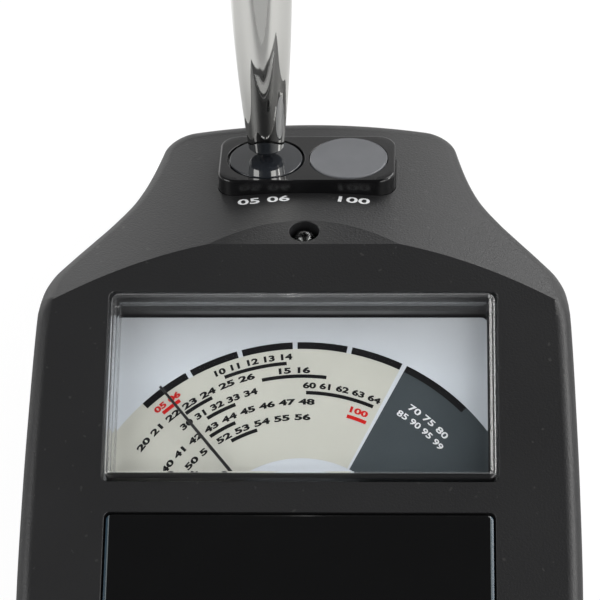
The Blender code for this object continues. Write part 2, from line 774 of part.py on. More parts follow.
def port_z():
    return FLOOR + GAP + BOARD_THICKNESS + GAP + PORT_HEIGHT / 2


def connector_cutters():
    """Holes of the probe jack and the power port, through the far walls of both shells."""
    level = (math.radians(-90), 0, 0)
    start = HALF_LENGTH - WALL - OVERRUN - FAR_CROWN
    jack = add_object("jack_hole", turned(disc_profile(JACK_NOSE + GAP, 0.0, WALL + 4 * OVERRUN), 20),
                      location=(-CONNECTOR_SPREAD, start, jack_z()), rotation=level)
    port = add_object("port_hole",
                      prism(rectangle(PORT_WIDTH + 2 * GAP, PORT_HEIGHT + 2 * GAP), 0.0,
                            WALL + 4 * OVERRUN),
                      location=(CONNECTOR_SPREAD, start, port_z()), rotation=level)
    return jack, port


def ceiling_post(x, y, start):
    """A round post whose upper end follows the inside of the case's top and bites into it."""
    top = Top(WALL)
    bm = bmesh.new()
    ring = circle(SCREW_POST, 16, x, y)
    low = [bm.verts.new((a, b, start)) for a, b in ring]
    high = [bm.verts.new((a, b, float(top.height(a, b)) + BITE)) for a, b in ring]
    bridge(bm, low, high)
    bm.faces.new(low)
    bm.faces.new(high)
    return bm


def front_shell(outline, slope):
    """Upper case moulding, with its window, panel recess, lamp hole, disc seat, button hole and screw posts."""
    shell = add_object("front_shell", front_skins(outline), charcoal())
    window = rounded_rectangle(WINDOW_WIDTH, WINDOW_DEPTH, WINDOW_CORNER, y=WINDOW_Y, steps=3)
    boolean(shell, add_object("window_hole", prism(window, CEILING - OVERRUN, CASE_HEIGHT + OVERRUN)))
    panel = rounded_rectangle(PANEL_WIDTH + 2 * GAP, PANEL_DEPTH + 2 * GAP, PANEL_CORNER, y=PANEL_Y, steps=3)
    floor = CASE_HEIGHT - PANEL_THICKNESS - GAP
    boolean(shell, add_object("panel_recess", prism(panel, floor, CASE_HEIGHT + OVERRUN)))
    lamp = turned(disc_profile(LAMP_HOLE, -WALL - OVERRUN, OVERRUN), 24)
    boolean(shell, add_object("lamp_hole", lamp, location=lamp_place(), rotation=(-CHAMFER_TILT, 0, 0)))
    seat = rounded_rectangle(BLOCK_WIDTH + 2 * GAP, BLOCK_DEPTH + 2 * GAP, BLOCK_CORNER + GAP, y=BLOCK_SETBACK)
    boolean(shell, add_object("block_seat", prism(seat, -BLOCK_SEAT, BLOCK_RISE), parent=slope))
    button = turned(disc_profile(BUTTON_RADIUS + GAP, CEILING - OVERRUN, CASE_HEIGHT + OVERRUN), 32)
    boolean(shell, add_object("button_hole", button, location=(0, BUTTON_Y, 0)))
    start = PARTING_HEIGHT + LIP_HEIGHT + GAP
    for number, (x, y) in enumerate(screw_places(), 1):
        boolean(shell, add_object(f"front_post_{number}", ceiling_post(x, y, start)), "UNION")
        end = SCREW_RECESS + SCREW_LENGTH + OVERRUN
        bore = turned(disc_profile(SCREW_SHANK + GAP, start - OVERRUN, end), 12)
        boolean(shell, add_object(f"front_bore_{number}", bore, location=(x, y, 0)))
    for cutter in connector_cutters():
        boolean(shell, cutter)
    return shell


def door_section(slack):
    """Cross-section of the battery door with its two tongues, grown by the slack."""
    half = TUB_HALF_WIDTH - GAP + slack
    tongue = half + DOOR_TONGUE
    low = DOOR_TOP - DOOR_TONGUE_THICKNESS - slack
    bottom = DOOR_BOTTOM if slack == 0 else DOOR_BOTTOM - OVERRUN
    top = DOOR_TOP + slack
    right = [(half, bottom), (half, low), (tongue, low), (tongue, top)]
    return right + [(-x, z) for x, z in reversed(right)]


def door_prism(slack, near, far):
    """The door's section carried along Y."""
    bm = bmesh.new()
    ends = [[bm.verts.new((x, y, z)) for x, z in door_section(slack)] for y in (near, far)]
    bridge(bm, *ends)
    for end in ends:
        bm.faces.new(end)
    return bm


def battery_door(outline):
    """Sliding door, trimmed to the near end's outline, with grip grooves for a thumb."""
    far = TUB_FAR + DOOR_LAND
    door = add_object("battery_door", door_prism(0.0, -HALF_LENGTH - OVERRUN, far), charcoal())
    boolean(door, add_object("door_trim", back_block(outline)), "INTERSECT")
    for number in range(DOOR_GRIP_COUNT):
        y = TUB_NEAR + (2 * number + 2) * 2 * DOOR_GRIP_WIDTH
        groove = prism(rectangle(DOOR_GRIP_SPAN, DOOR_GRIP_WIDTH, y=y),
                       DOOR_BOTTOM - OVERRUN, DOOR_BOTTOM + DOOR_GRIP_WIDTH / 2)
        boolean(door, add_object(f"door_groove_{number + 1}", groove))
    return door


def back_shell(outline):
    """Lower case moulding with the battery tub, the door's slide, the board's posts and the screw posts."""
    shell = add_object("back_shell", back_skins(outline), charcoal())
    depth = TUB_FAR + WALL - TUB_NEAR
    middle = (TUB_FAR + WALL + TUB_NEAR) / 2
    wall = rectangle(2 * (TUB_HALF_WIDTH + TUB_SIDE), depth + 2 * BITE, y=middle)
    boolean(shell, add_object("tub_outside", prism(wall, FLOOR - BITE, TUB_CEILING + TUB_TOP)), "UNION")
    inside = rectangle(2 * TUB_HALF_WIDTH, TUB_FAR - TUB_NEAR, y=(TUB_FAR + TUB_NEAR) / 2)
    boolean(shell, add_object("tub_inside", prism(inside, -OVERRUN, TUB_CEILING)))
    far = TUB_FAR + DOOR_LAND + GAP
    boolean(shell, add_object("door_slide", door_prism(GAP, -HALF_LENGTH - 2 * OVERRUN, far)))
    for number, (x, y) in enumerate(board_posts(), 1):
        post = turned(disc_profile(BOARD_POST, TUB_CEILING, BOARD_BOTTOM - GAP), 12)
        boolean(shell, add_object(f"board_post_{number}", post, location=(x, y, 0)), "UNION")
    for number, (x, y) in enumerate(screw_places(), 1):
        post = turned(disc_profile(SCREW_POST, FLOOR - BITE, PARTING_HEIGHT + LIP_HEIGHT), 16)
        boolean(shell, add_object(f"back_post_{number}", post, location=(x, y, 0)), "UNION")
        head = SCREW_RECESS + SCREW_HEAD_HEIGHT + GAP
        bore = turned([(0.0, -OVERRUN), (SCREW_HEAD + GAP, -OVERRUN), (SCREW_HEAD + GAP, head),
                       (SCREW_SHANK + GAP, head),
                       (SCREW_SHANK + GAP, PARTING_HEIGHT + OVERRUN), (0.0, PARTING_HEIGHT + OVERRUN)], 16)
        boolean(shell, add_object(f"back_bore_{number}", bore, location=(x, y, 0)))
    for cutter in connector_cutters():
        boolean(shell, cutter)
    return shell


def case_screws():
    for number, (x, y) in enumerate(screw_places(), 1):
        top = SCREW_RECESS + SCREW_HEAD_HEIGHT
        profile = [(0.0, SCREW_RECESS), (SCREW_HEAD, SCREW_RECESS), (SCREW_HEAD, top), (SCREW_SHANK, top),
                   (SCREW_SHANK, SCREW_RECESS + SCREW_LENGTH - SCREW_SHANK), (0.0, SCREW_RECESS + SCREW_LENGTH)]
        screw = add_object(f"case_screw_{number}", turned(profile, 12), steel(), location=(x, y, 0))
        slot = prism(rectangle(SCREW_HEAD, SCREW_SHANK / 2), 0.0, SCREW_RECESS + SCREW_SHANK / 2)
        cross = prism(rectangle(SCREW_SHANK / 2, SCREW_HEAD), 0.0, SCREW_RECESS + SCREW_SHANK / 2)
        boolean(screw, add_object(f"screw_slot_{number}", slot, location=(x, y, 0)))
        boolean(screw, add_object(f"screw_cross_{number}", cross, location=(x, y, 0)))


def label_panel():
    """Glossy plate in the recess below the window, with nothing on it."""
    outline = rounded_rectangle(PANEL_WIDTH, PANEL_DEPTH, PANEL_CORNER, y=PANEL_Y, steps=3)
    add_object("label_panel", prism(outline, CASE_HEIGHT - PANEL_THICKNESS, CASE_HEIGHT), gloss_black())


def meter_lens():
    """Clear cover: a plate that stands proud of the front, its skirt, and the flange that holds it in."""
    width, depth = WINDOW_WIDTH - 2 * LENS_SLACK, WINDOW_DEPTH - 2 * LENS_SLACK
    bottom = DIAL_TOP + GAP
    clear = material("clear_acrylic", (0.9, 0.93, 0.95), 0.05)
    bm = bmesh.new()
    corner = WINDOW_CORNER
    rows = (
        (-2 * LENS_SKIRT, CASE_HEIGHT + LENS_RISE - LENS_THICKNESS),
        (-2 * LENS_SKIRT, bottom),
        (2 * LENS_FLANGE, bottom),
        (2 * LENS_FLANGE, CEILING - GAP),
        (0.0, CEILING - GAP),
        (0.0, CASE_HEIGHT + LENS_RISE),
    )
    rings = []
    for grow, height in rows:
        outline = rounded_rectangle(width + grow, depth + grow, corner, y=WINDOW_Y, steps=3)
        rings.append(add_ring(bm, [(x, y, height) for x, y in outline]))
    for first, second in zip(rings, rings[1:]):
        bridge(bm, first, second)
    bm.faces.new(rings[0])
    bm.faces.new(rings[-1])
    lens = add_object("meter_lens", bm, clear)
    # The needle swings through a gap in the skirt's near side
    far = WINDOW_BOTTOM + LENS_SLACK + LENS_SKIRT + OVERRUN
    near = WINDOW_BOTTOM - LENS_FLANGE - OVERRUN
    gate = prism(rectangle(width * NEEDLE_GATE_SHARE, far - near, y=(near + far) / 2), bottom - OVERRUN, CEILING)
    boolean(lens, add_object("needle_gate", gate))


def meter_case():
    """Open tub that holds the movement and carries the dial."""
    width = WINDOW_WIDTH + 2 * METER_MARGIN
    near = PIVOT_Y - METER_TAIL
    far = WINDOW_TOP + METER_MARGIN / 2
    top = DIAL_BOTTOM - GAP
    bottom = top - METER_DEPTH + GAP
    outline = rounded_rectangle(width, far - near, PANEL_CORNER, y=(near + far) / 2, steps=2)
    tub = add_object("meter_case", prism(outline, bottom, top), black_plastic())
    inside = rectangle(width - 2 * METER_WALL, far - near - 2 * METER_WALL, y=(near + far) / 2)
    boolean(tub, add_object("meter_hollow", prism(inside, bottom + METER_WALL, top + OVERRUN)))
    for side, name in ((-1, "left"), (1, "right")):
        lug = turned(disc_profile(DIAL_SCREW_HEAD + GAP, bottom + METER_WALL / 2, top - GAP), 12)
        place = (side * DIAL_SCREW_SPREAD, DIAL_SCREW_Y, 0)
        boolean(tub, add_object(f"lug_{name}", lug, location=place), "UNION")
        bore = turned(disc_profile(DIAL_SCREW_RADIUS + GAP, top - DIAL_SCREW_LENGTH - GAP, top + OVERRUN), 12)
        boolean(tub, add_object(f"lug_bore_{name}", bore, location=place))


def dial_plate():
    """Scale plate with a round notch that clears the movement."""
    width = WINDOW_WIDTH + 2 * METER_MARGIN - 2 * METER_WALL
    far = WINDOW_TOP + DIAL_MARGIN
    near = WINDOW_BOTTOM - DIAL_TAIL
    outline = rounded_rectangle(width, far - near, PANEL_CORNER, y=(near + far) / 2, steps=2)
    plate = add_object("dial_plate", prism(outline, DIAL_BOTTOM, DIAL_TOP),
                       material("dial_card", (0.72, 0.76, 0.8), 0.5))
    notch = turned(disc_profile(DIAL_NOTCH, DIAL_BOTTOM - OVERRUN, DIAL_TOP + OVERRUN), 32)
    boolean(plate, add_object("dial_notch", notch, location=(0, PIVOT_Y, 0)))
    for side, name in ((-1, "left"), (1, "right")):
        hole = turned(disc_profile(DIAL_SCREW_RADIUS + GAP, DIAL_BOTTOM - OVERRUN, DIAL_TOP + OVERRUN), 12)
        place = (side * DIAL_SCREW_SPREAD, DIAL_SCREW_Y, 0)
        boolean(plate, add_object(f"dial_hole_{name}", hole, location=place))
        head = DIAL_TOP + GAP
        profile = [(0.0, DIAL_BOTTOM - GAP - DIAL_SCREW_LENGTH),
                   (DIAL_SCREW_RADIUS, DIAL_BOTTOM - GAP - DIAL_SCREW_LENGTH),
                   (DIAL_SCREW_RADIUS, head), (DIAL_SCREW_HEAD, head),
                   (DIAL_SCREW_HEAD, head + DIAL_SCREW_RADIUS / 2), (0.0, head + DIAL_SCREW_RADIUS)]
        add_object(f"dial_screw_{name}", turned(profile, 12), steel(), location=place)


def needle(axis):
    """Pointer: a hub, an arm cranked up over the dial's edge, and a counterweight tail."""
    hub = turned(tube_profile(HUB_RADIUS, PIVOT_RADIUS + GAP, HUB_Z, HUB_Z + HUB_HEIGHT), 16)
    pointer = add_object("needle", hub, black_plastic(), parent=axis)
    low, high = HUB_Z, NEEDLE_Z - NEEDLE_THICKNESS / 2
    start = HUB_RADIUS - PIVOT_RADIUS
    half = NEEDLE_WIDTH / 2
    crank = [YOKE_RADIUS * share for share in NEEDLE_CRANK_SHARES]
    stations = (
        (-NEEDLE_TAIL, low, 3 * half), (-start, low, 3 * half), (-start, low, half), (start, low, half),
        (crank[0], low, half), (crank[1], high, half), (NEEDLE_LENGTH, high, half / 2),
    )
    for name, chosen in (("needle_tail", stations[:2]), ("needle_arm", stations[3:])):
        bm = bmesh.new()
        rings = [
            [bm.verts.new((x, y, z + lift)) for x, lift in
             ((-w, 0.0), (w, 0.0), (w, NEEDLE_THICKNESS), (-w, NEEDLE_THICKNESS))]
            for y, z, w in chosen
        ]
        for first, second in zip(rings, rings[1:]):
            bridge(bm, first, second)
        bm.faces.new(rings[0])
        bm.faces.new(rings[-1])
        boolean(pointer, add_object(name, bm, parent=axis), "UNION")


def moving_coil(axis):
    """Wound frame that turns round the core, with its two pivots."""
    inner = CORE_RADIUS + COIL_SLACK
    outer = inner + COIL_THICKNESS
    width = COIL_THICKNESS
    bm = bmesh.new()
    section = [(-outer, COIL_BOTTOM), (outer, COIL_BOTTOM), (outer, COIL_TOP), (-outer, COIL_TOP)]
    hole = [(-inner, COIL_BOTTOM + width), (inner, COIL_BOTTOM + width),
            (inner, COIL_TOP - width), (-inner, COIL_TOP - width)]
    rings = [[bm.verts.new((x, y, z)) for x, z in loop] for loop, y in
             ((section, -width), (section, width), (hole, width), (hole, -width))]
    for first, second in zip(rings, rings[1:] + rings[:1]):
        bridge(bm, first, second)
    add_object("moving_coil", bm, copper(), parent=axis)
    upper = [(0.0, COIL_TOP + GAP / 2), (PIVOT_RADIUS, COIL_TOP + GAP / 2),
             (PIVOT_RADIUS, UPPER_BRIDGE_Z - 2 * GAP), (0.0, UPPER_BRIDGE_Z - GAP)]
    add_object("upper_pivot", turned(upper, 10), steel(), parent=axis)
    jewel_top = LOWER_BRIDGE_Z + BRIDGE_THICKNESS + LOWER_JEWEL_RISE
    lower = [(0.0, jewel_top + GAP), (PIVOT_RADIUS, jewel_top + 2 * GAP),
             (PIVOT_RADIUS, COIL_BOTTOM - GAP / 2), (0.0, COIL_BOTTOM - GAP / 2)]
    add_object("lower_pivot", turned(lower, 10), steel(), parent=axis)


def magnet_core(place):
    """Round magnet held in the yoke by an arm on each side, clear of the coil's swing."""
    core = add_object("magnet_core", turned(disc_profile(CORE_RADIUS, CORE_Z, CORE_Z + CORE_HEIGHT), 24),
                      steel(), location=place)
    arm = prism(rectangle(CORE_ARM, 2 * (YOKE_BORE - GAP)), CORE_Z + GAP, CORE_Z + CORE_HEIGHT - GAP)
    boolean(core, add_object("core_arm", arm, location=place), "UNION")
    # The arm's square ends are trimmed to the yoke's round bore
    trim = turned(disc_profile(YOKE_BORE - GAP, CORE_Z - OVERRUN, CORE_Z + CORE_HEIGHT + OVERRUN), 24)
    boolean(core, add_object("core_trim", trim, location=place), "INTERSECT")
    ring = tube_profile(YOKE_RADIUS, YOKE_BORE, YOKE_Z, YOKE_Z + YOKE_HEIGHT)
    add_object("yoke_ring", turned(ring, 32), material("soft_iron", (0.3, 0.3, 0.31), 0.45, 1.0), location=place)


def bridges(place):
    """The two brass bridges, each with its jewel screw."""
    reach = 2 * YOKE_RADIUS - 2 * GAP
    lower = add_object("lower_bridge",
                       prism(rectangle(reach, BRIDGE_WIDTH), LOWER_BRIDGE_Z, LOWER_BRIDGE_Z + BRIDGE_THICKNESS),
                       brass(), location=place)
    ring = (YOKE_RADIUS + YOKE_BORE) / 2
    for side, name in ((-1, "left"), (1, "right")):
        foot = prism(rectangle(YOKE_RADIUS - YOKE_BORE - 2 * GAP, BRIDGE_WIDTH, x=side * ring),
                     LOWER_BRIDGE_Z + BRIDGE_THICKNESS - BITE, YOKE_Z - GAP)
        boolean(lower, add_object(f"bridge_foot_{name}", foot, location=place), "UNION")
    bore = turned(disc_profile(JEWEL_RADIUS + GAP, LOWER_BRIDGE_Z - OVERRUN, LOWER_BRIDGE_Z + OVERRUN), 16)
    boolean(lower, add_object("lower_bore", bore, location=place))
    top = LOWER_BRIDGE_Z + BRIDGE_THICKNESS + LOWER_JEWEL_RISE
    add_object("lower_jewel", turned(disc_profile(JEWEL_RADIUS, LOWER_BRIDGE_Z, top), 16), brass(), location=place)

    length = BRIDGE_POST_REACH + BRIDGE_WIDTH / 2
    bar = prism(rectangle(BRIDGE_WIDTH, length, y=-length / 2 + BRIDGE_WIDTH / 2),
                UPPER_BRIDGE_Z, UPPER_BRIDGE_Z + BRIDGE_THICKNESS)
    upper = add_object("upper_bridge", bar, brass(), location=place)
    post_near = -length + BRIDGE_WIDTH / 2
    post_far = -YOKE_RADIUS - GAP
    post = prism(rectangle(BRIDGE_WIDTH, post_far - post_near, y=(post_near + post_far) / 2),
                 METER_FLOOR + GAP, UPPER_BRIDGE_Z + BRIDGE_THICKNESS / 2)
    boolean(upper, add_object("bridge_post", post, location=place), "UNION")
    bore = turned(disc_profile(JEWEL_RADIUS + GAP, UPPER_BRIDGE_Z - OVERRUN, UPPER_BRIDGE_Z + OVERRUN), 16)
    boolean(upper, add_object("upper_bore", bore, location=place))
    add_object("upper_jewel", turned(disc_profile(JEWEL_RADIUS, UPPER_BRIDGE_Z, UPPER_BRIDGE_Z + JEWEL_HEIGHT), 16),
               brass(), location=place)


def hairspring(name, bottom, place):
    """Flat spiral strip from the eye round the pivot out to its anchor."""
    per_turn = 10
    share = np.linspace(0.0, 1.0, HAIRSPRING_TURNS * per_turn + 1)
    angle = 2 * math.pi * HAIRSPRING_TURNS * share
    radius = HAIRSPRING_EYE + (HAIRSPRING_RADIUS - HAIRSPRING_EYE) * share
    bm = bmesh.new()
    rings = []
    for a, r in zip(angle, radius):
        ring = []
        for out, up in ((0, 0), (1, 0), (1, 2), (0, 2)):
            reach = r + out * HAIRSPRING_STRIP
            ring.append(bm.verts.new((reach * math.cos(a), reach * math.sin(a), bottom + up * HAIRSPRING_STRIP)))
        rings.append(ring)
    for first, second in zip(rings, rings[1:]):
        bridge(bm, first, second)
    bm.faces.new(rings[0])
    bm.faces.new(rings[-1])
    add_object(name, bm, brass(), location=place)


def disc_block(slope):
    """Glossy block in its seat on the slope, with a pocket for each disc."""
    outline = rounded_rectangle(BLOCK_WIDTH, BLOCK_DEPTH, BLOCK_CORNER, y=BLOCK_SETBACK)
    block = add_object("disc_block", prism(outline, GAP - BLOCK_SEAT, BLOCK_RISE), gloss_black(), parent=slope)
    depth = BLOCK_RISE - DISC_THICKNESS - GAP
    for side, name, radius, slack, rise, finish in (
        (-1, "glass_disc", GLASS_RADIUS, GLASS_SLACK, 0.0, material("dark_glass", (0.02, 0.024, 0.028), 0.03)),
        (1, "reference_disc", REFERENCE_RADIUS, GAP, REFERENCE_RISE, material("grey_disc", (0.16, 0.165, 0.18), 0.3)),
    ):
        place = (side * DISC_SPACING / 2, DISC_SETBACK, 0)
        pocket = turned(disc_profile(radius + slack, depth, BLOCK_RISE + OVERRUN), 32)
        boolean(block, add_object(f"{name}_pocket", pocket, parent=slope, location=place))
        disc = disc_profile(radius, depth + GAP, BLOCK_RISE + rise)
        add_object(name, turned(disc, 32), finish, parent=slope, location=place)


def status_led():
    """Clear lamp behind the chamfer's hole: a dome, its body and the flange at its foot."""
    rise = LAMP_RADIUS
    profile = [(0.0, -LAMP_LENGTH), (LAMP_FLANGE, -LAMP_LENGTH), (LAMP_FLANGE, -LAMP_LENGTH + rise / 2),
               (LAMP_RADIUS, -LAMP_LENGTH + rise / 2), (LAMP_RADIUS, -rise - GAP)]
    for step in range(1, 5):
        angle = math.pi / 2 * step / 4
        radius = LAMP_RADIUS * math.cos(angle) if step < 4 else 0.0
        profile.append((radius, -rise - GAP + LAMP_RADIUS * math.sin(angle)))
    add_object("status_led", turned(profile, 16), material("clear_lamp", (0.85, 0.88, 0.9), 0.1),
               location=lamp_place(), rotation=(-CHAMFER_TILT, 0, 0))


def power_button():
    """Button with its flange under the face and its stem, and the switch that it works."""
    place = (0, BUTTON_Y, 0)
    switch_bottom = BOARD_TOP + GAP
    switch_top = switch_bottom + HEADROOM * SWITCH_HEIGHT_SHARE
    plunger_top = CEILING - GAP - BUTTON_FLANGE - HEADROOM * STEM_LENGTH_SHARE
    plunger_bottom = switch_top - HEADROOM * PLUNGER_DEPTH_SHARE
    flange_top = CEILING - GAP
    flange = flange_top - BUTTON_FLANGE
    profile = [(0.0, plunger_top + GAP), (BUTTON_STEM, plunger_top + GAP), (BUTTON_STEM, flange),
               (BUTTON_RADIUS + BUTTON_FLANGE, flange), (BUTTON_RADIUS + BUTTON_FLANGE, flange_top),
               (BUTTON_RADIUS, flange_top), (BUTTON_RADIUS, CASE_HEIGHT + BUTTON_RISE - BUTTON_RISE / 2),
               (BUTTON_RADIUS - BUTTON_RISE / 2, CASE_HEIGHT + BUTTON_RISE), (0.0, CASE_HEIGHT + BUTTON_RISE)]
    add_object("power_button", turned(profile, 32), black_plastic(), location=place)
    body = add_object("power_switch", prism(rectangle(SWITCH_WIDTH, SWITCH_WIDTH), switch_bottom, switch_top),
                      black_plastic(), location=place)
    well = plunger_bottom - HEADROOM * BUTTON_TRAVEL_SHARE - GAP
    hole = turned(disc_profile(PLUNGER_RADIUS + GAP, well, switch_top + OVERRUN), 16)
    boolean(body, add_object("switch_well", hole, location=place))
    plunger = disc_profile(PLUNGER_RADIUS, plunger_bottom, plunger_top)
    add_object("switch_plunger", turned(plunger, 16), black_plastic(), location=place)


def board_posts():
    middle = (BATTERY_NEAR + BATTERY_FAR) / 2
    for side in (-1, 1):
        for end in (-1, 1):
            yield side * (TUB_HALF_WIDTH - BOARD_POST), middle + end * (BATTERY_LENGTH / 2 - BOARD_POST)


def boards():
    """Main board over the battery tub, and the small board that carries the two connectors."""
    green = material("board_green", (0.02, 0.12, 0.05), 0.4)
    middle = (BATTERY_NEAR + BATTERY_FAR) / 2
    main = rectangle(CASE_HALF_WIDTH * BOARD_WIDTH_SHARE, CASE_LENGTH * BOARD_DEPTH_SHARE, y=middle)
    add_object("circuit_board", prism(main, BOARD_BOTTOM, BOARD_TOP), green)
    far = HALF_LENGTH - FAR_CROWN - WALL - OVERRUN
    width = CASE_HALF_WIDTH * CONNECTOR_BOARD_SHARE
    small = rectangle(width, CONNECTOR_BOARD_DEPTH, y=far - CONNECTOR_BOARD_DEPTH / 2)
    bottom = FLOOR + GAP
    add_object("connector_board", prism(small, bottom, bottom + BOARD_THICKNESS), green)


def connectors():
    """Probe jack and power port, whose mouths stand in the far wall."""
    level = (math.radians(-90), 0, 0)
    wall_y = HALF_LENGTH - WALL - FAR_CROWN - GAP
    jack = add_object("probe_jack", prism(rectangle(JACK_WIDTH, JACK_HEIGHT), -JACK_LENGTH, 0.0), black_plastic(),
                      location=(-CONNECTOR_SPREAD, wall_y, jack_z()), rotation=level)
    nose = turned(disc_profile(JACK_NOSE, -BITE, WALL + GAP), 20)
    boolean(jack, add_object("jack_nose", nose, location=jack.location, rotation=level), "UNION")
    bore = turned(disc_profile(JACK_BORE, -JACK_LENGTH + WALL, WALL + OVERRUN), 16)
    boolean(jack, add_object("jack_bore", bore, location=jack.location, rotation=level))
    port = add_object("power_port",
                      prism(rectangle(PORT_WIDTH, PORT_HEIGHT), -PORT_LENGTH + WALL, WALL + GAP), steel(),
                      location=(CONNECTOR_SPREAD, wall_y, port_z()), rotation=level)
    mouth = prism(rectangle(PORT_WIDTH - 2 * PORT_SHEET, PORT_HEIGHT - 2 * PORT_SHEET),
                  -PORT_LENGTH + 2 * WALL, WALL + OVERRUN)
    boolean(port, add_object("port_mouth", mouth, location=port.location, rotation=level))


def batteries():
    """Three cells side by side, each between a spring contact and a flat one."""
    upright = (math.radians(-90), 0, 0)
    skin = material("battery_wrap", (0.12, 0.13, 0.14), 0.35, 0.4)
    for number in range(BATTERY_COUNT):
        x = (number - (BATTERY_COUNT - 1) / 2) * BATTERY_PITCH
        shoulder = BATTERY_LENGTH - BATTERY_NUB / 2
        profile = [(0.0, 0.0), (BATTERY_RADIUS, 0.0), (BATTERY_RADIUS, shoulder), (BATTERY_NUB, shoulder),
                   (BATTERY_NUB, BATTERY_LENGTH), (0.0, BATTERY_LENGTH)]
        add_object(f"battery_{number + 1}", turned(profile, 20), skin,
                   location=(x, BATTERY_NEAR, BATTERY_Z), rotation=upright)
        coil(f"contact_spring_{number + 1}", (BATTERY_RADIUS - 2 * CONTACT_WIRE, BATTERY_NUB),
             (CONTACT_WIRE, CONTACT_SPRING - CONTACT_WIRE), CONTACT_TURNS, CONTACT_WIRE, steel(),
             location=(x, SPRING_NEAR, BATTERY_Z), rotation=upright)
        side = 2 * BATTERY_RADIUS - 2 * GAP
        plate = prism(rectangle(side, side), 0.0, CONTACT_THICKNESS)
        add_object(f"contact_plate_{number + 1}", plate, steel(),
                   location=(x, BATTERY_FAR + GAP, BATTERY_Z), rotation=upright)


def nose_radius(distance):
    """The pen's outer radius by the distance from the disc: it widens quickly, then evens out to the barrel."""
    return NOSE_RADIUS * (1.0 - NOSE_TAPER_SHARE * (1.0 - distance / NOSE_END) ** NOSE_CURVE)


def pen_probe(pen):
    """The pen: nose, barrel and tail, with the sprung tip and the sensor rod inside the nose."""
    shoulder = NOSE_START + NOSE_CHAMFER
    places = shoulder + (NOSE_END - shoulder) * np.linspace(0.0, 1.0, 10) ** 2
    outer = [(nose_radius(d), d) for d in places]
    hollow = [(nose_radius(d) - NOSE_WALL, d) for d in places[2::2]]
    spigot = NOSE_RADIUS - BARREL_WALL - GAP
    mouth = TIP_RADIUS + GAP
    bore = spigot - NOSE_WALL
    spigot_end = NOSE_END + SPIGOT_LENGTH
    profile = [(mouth, NOSE_START), (NOSE_MOUTH, NOSE_START), *outer, (spigot, NOSE_END), (spigot, spigot_end),
               (bore, spigot_end), (bore, NOSE_END - NOSE_WALL), *reversed(hollow),
               (hollow[0][0], NOSE_GUIDE), (mouth, NOSE_GUIDE)]
    add_object("probe_nose", turned(profile, 24), chrome(), parent=pen)

    barrel = tube_profile(NOSE_RADIUS, NOSE_RADIUS - BARREL_WALL, NOSE_END + GAP, BARREL_END)
    add_object("probe_barrel", turned(barrel, 24), chrome(), parent=pen)
    start = BARREL_END + GAP
    step = (TAIL_END - start) / 4
    tail = [(CORD_BORE, start - SPIGOT_LENGTH), (spigot, start - SPIGOT_LENGTH), (spigot, start),
            (NOSE_RADIUS, start), (NOSE_RADIUS, start + step),
            (TAIL_RADIUS + (NOSE_RADIUS - TAIL_RADIUS) / 2, start + 2 * step),
            (TAIL_RADIUS, start + 3 * step), (TAIL_RADIUS, TAIL_END), (CORD_BORE, TAIL_END)]
    add_object("probe_tail", turned(tail, 24), black_plastic(), parent=pen)

    flange = NOSE_GUIDE + GAP
    flange_end = flange + TIP_FLANGE_THICKNESS
    tip = [(0.0, GAP), (TIP_RADIUS / 2, GAP), (TIP_RADIUS, GAP + TIP_RADIUS / 3),
           (TIP_RADIUS, flange), (TIP_FLANGE, flange), (TIP_FLANGE, flange_end), (TIP_RADIUS, flange_end),
           (TIP_RADIUS, TIP_STEM), (0.0, TIP_STEM)]
    add_object("probe_tip", turned(tip, 16), copper(), parent=pen)
    spring_start = flange_end + GAP
    coil("tip_spring", (TIP_SPRING_RADIUS + TIP_SPRING_WIRE, TIP_SPRING_RADIUS + TIP_SPRING_WIRE),
         (spring_start + TIP_SPRING_WIRE, spring_start + TIP_SPRING_LENGTH - TIP_SPRING_WIRE),
         TIP_SPRING_TURNS, TIP_SPRING_WIRE, steel(), parent=pen)
    rod_start = spring_start + TIP_SPRING_LENGTH + GAP
    rod = add_object("sensor_rod", turned(disc_profile(CORE_ROD_RADIUS, rod_start, rod_start + CORE_ROD_LENGTH), 16),
                     material("ceramic", (0.8, 0.78, 0.72), 0.5), parent=pen)
    collar_z = rod_start + CORE_ROD_LENGTH / 2
    collar = nose_radius(collar_z) - NOSE_WALL - 2 * GAP
    disc = turned(disc_profile(collar, collar_z, collar_z + NOSE_WALL), 16)
    boolean(rod, add_object("rod_collar", disc, parent=pen), "UNION")


def main():
    clear_scene()
    outline = Outline()
    slope = add_empty("slope_frame", (0, SLOPE_Y, CASE_HEIGHT), tilt=-SLOPE_TILT)
    front_shell(outline, slope)
    back_shell(outline)
    battery_door(outline)
    case_screws()
    label_panel()
    power_button()
    boards()
    connectors()
    batteries()
    status_led()

    meter_lens()
    meter_case()
    dial_plate()
    place = (0, PIVOT_Y, 0)
    axis = add_empty("needle_axis", place, turn=NEEDLE_ANGLE)
    needle(axis)
    moving_coil(axis)
    magnet_core(place)
    bridges(place)
    hairspring("upper_hairspring", HUB_Z + HUB_HEIGHT + GAP, place)
    hairspring("lower_hairspring", LOWER_BRIDGE_Z + BRIDGE_THICKNESS + LOWER_JEWEL_RISE + 2 * GAP, place)

    disc_block(slope)
    pen = add_empty("pen_axis", (-DISC_SPACING / 2, DISC_SETBACK + PROBE_OFFSET, BLOCK_RISE))
    pen.parent = slope
    pen_probe(pen)


main()
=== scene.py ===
import math

import bmesh
import bpy
import numpy as np
from mathutils import Matrix, Vector


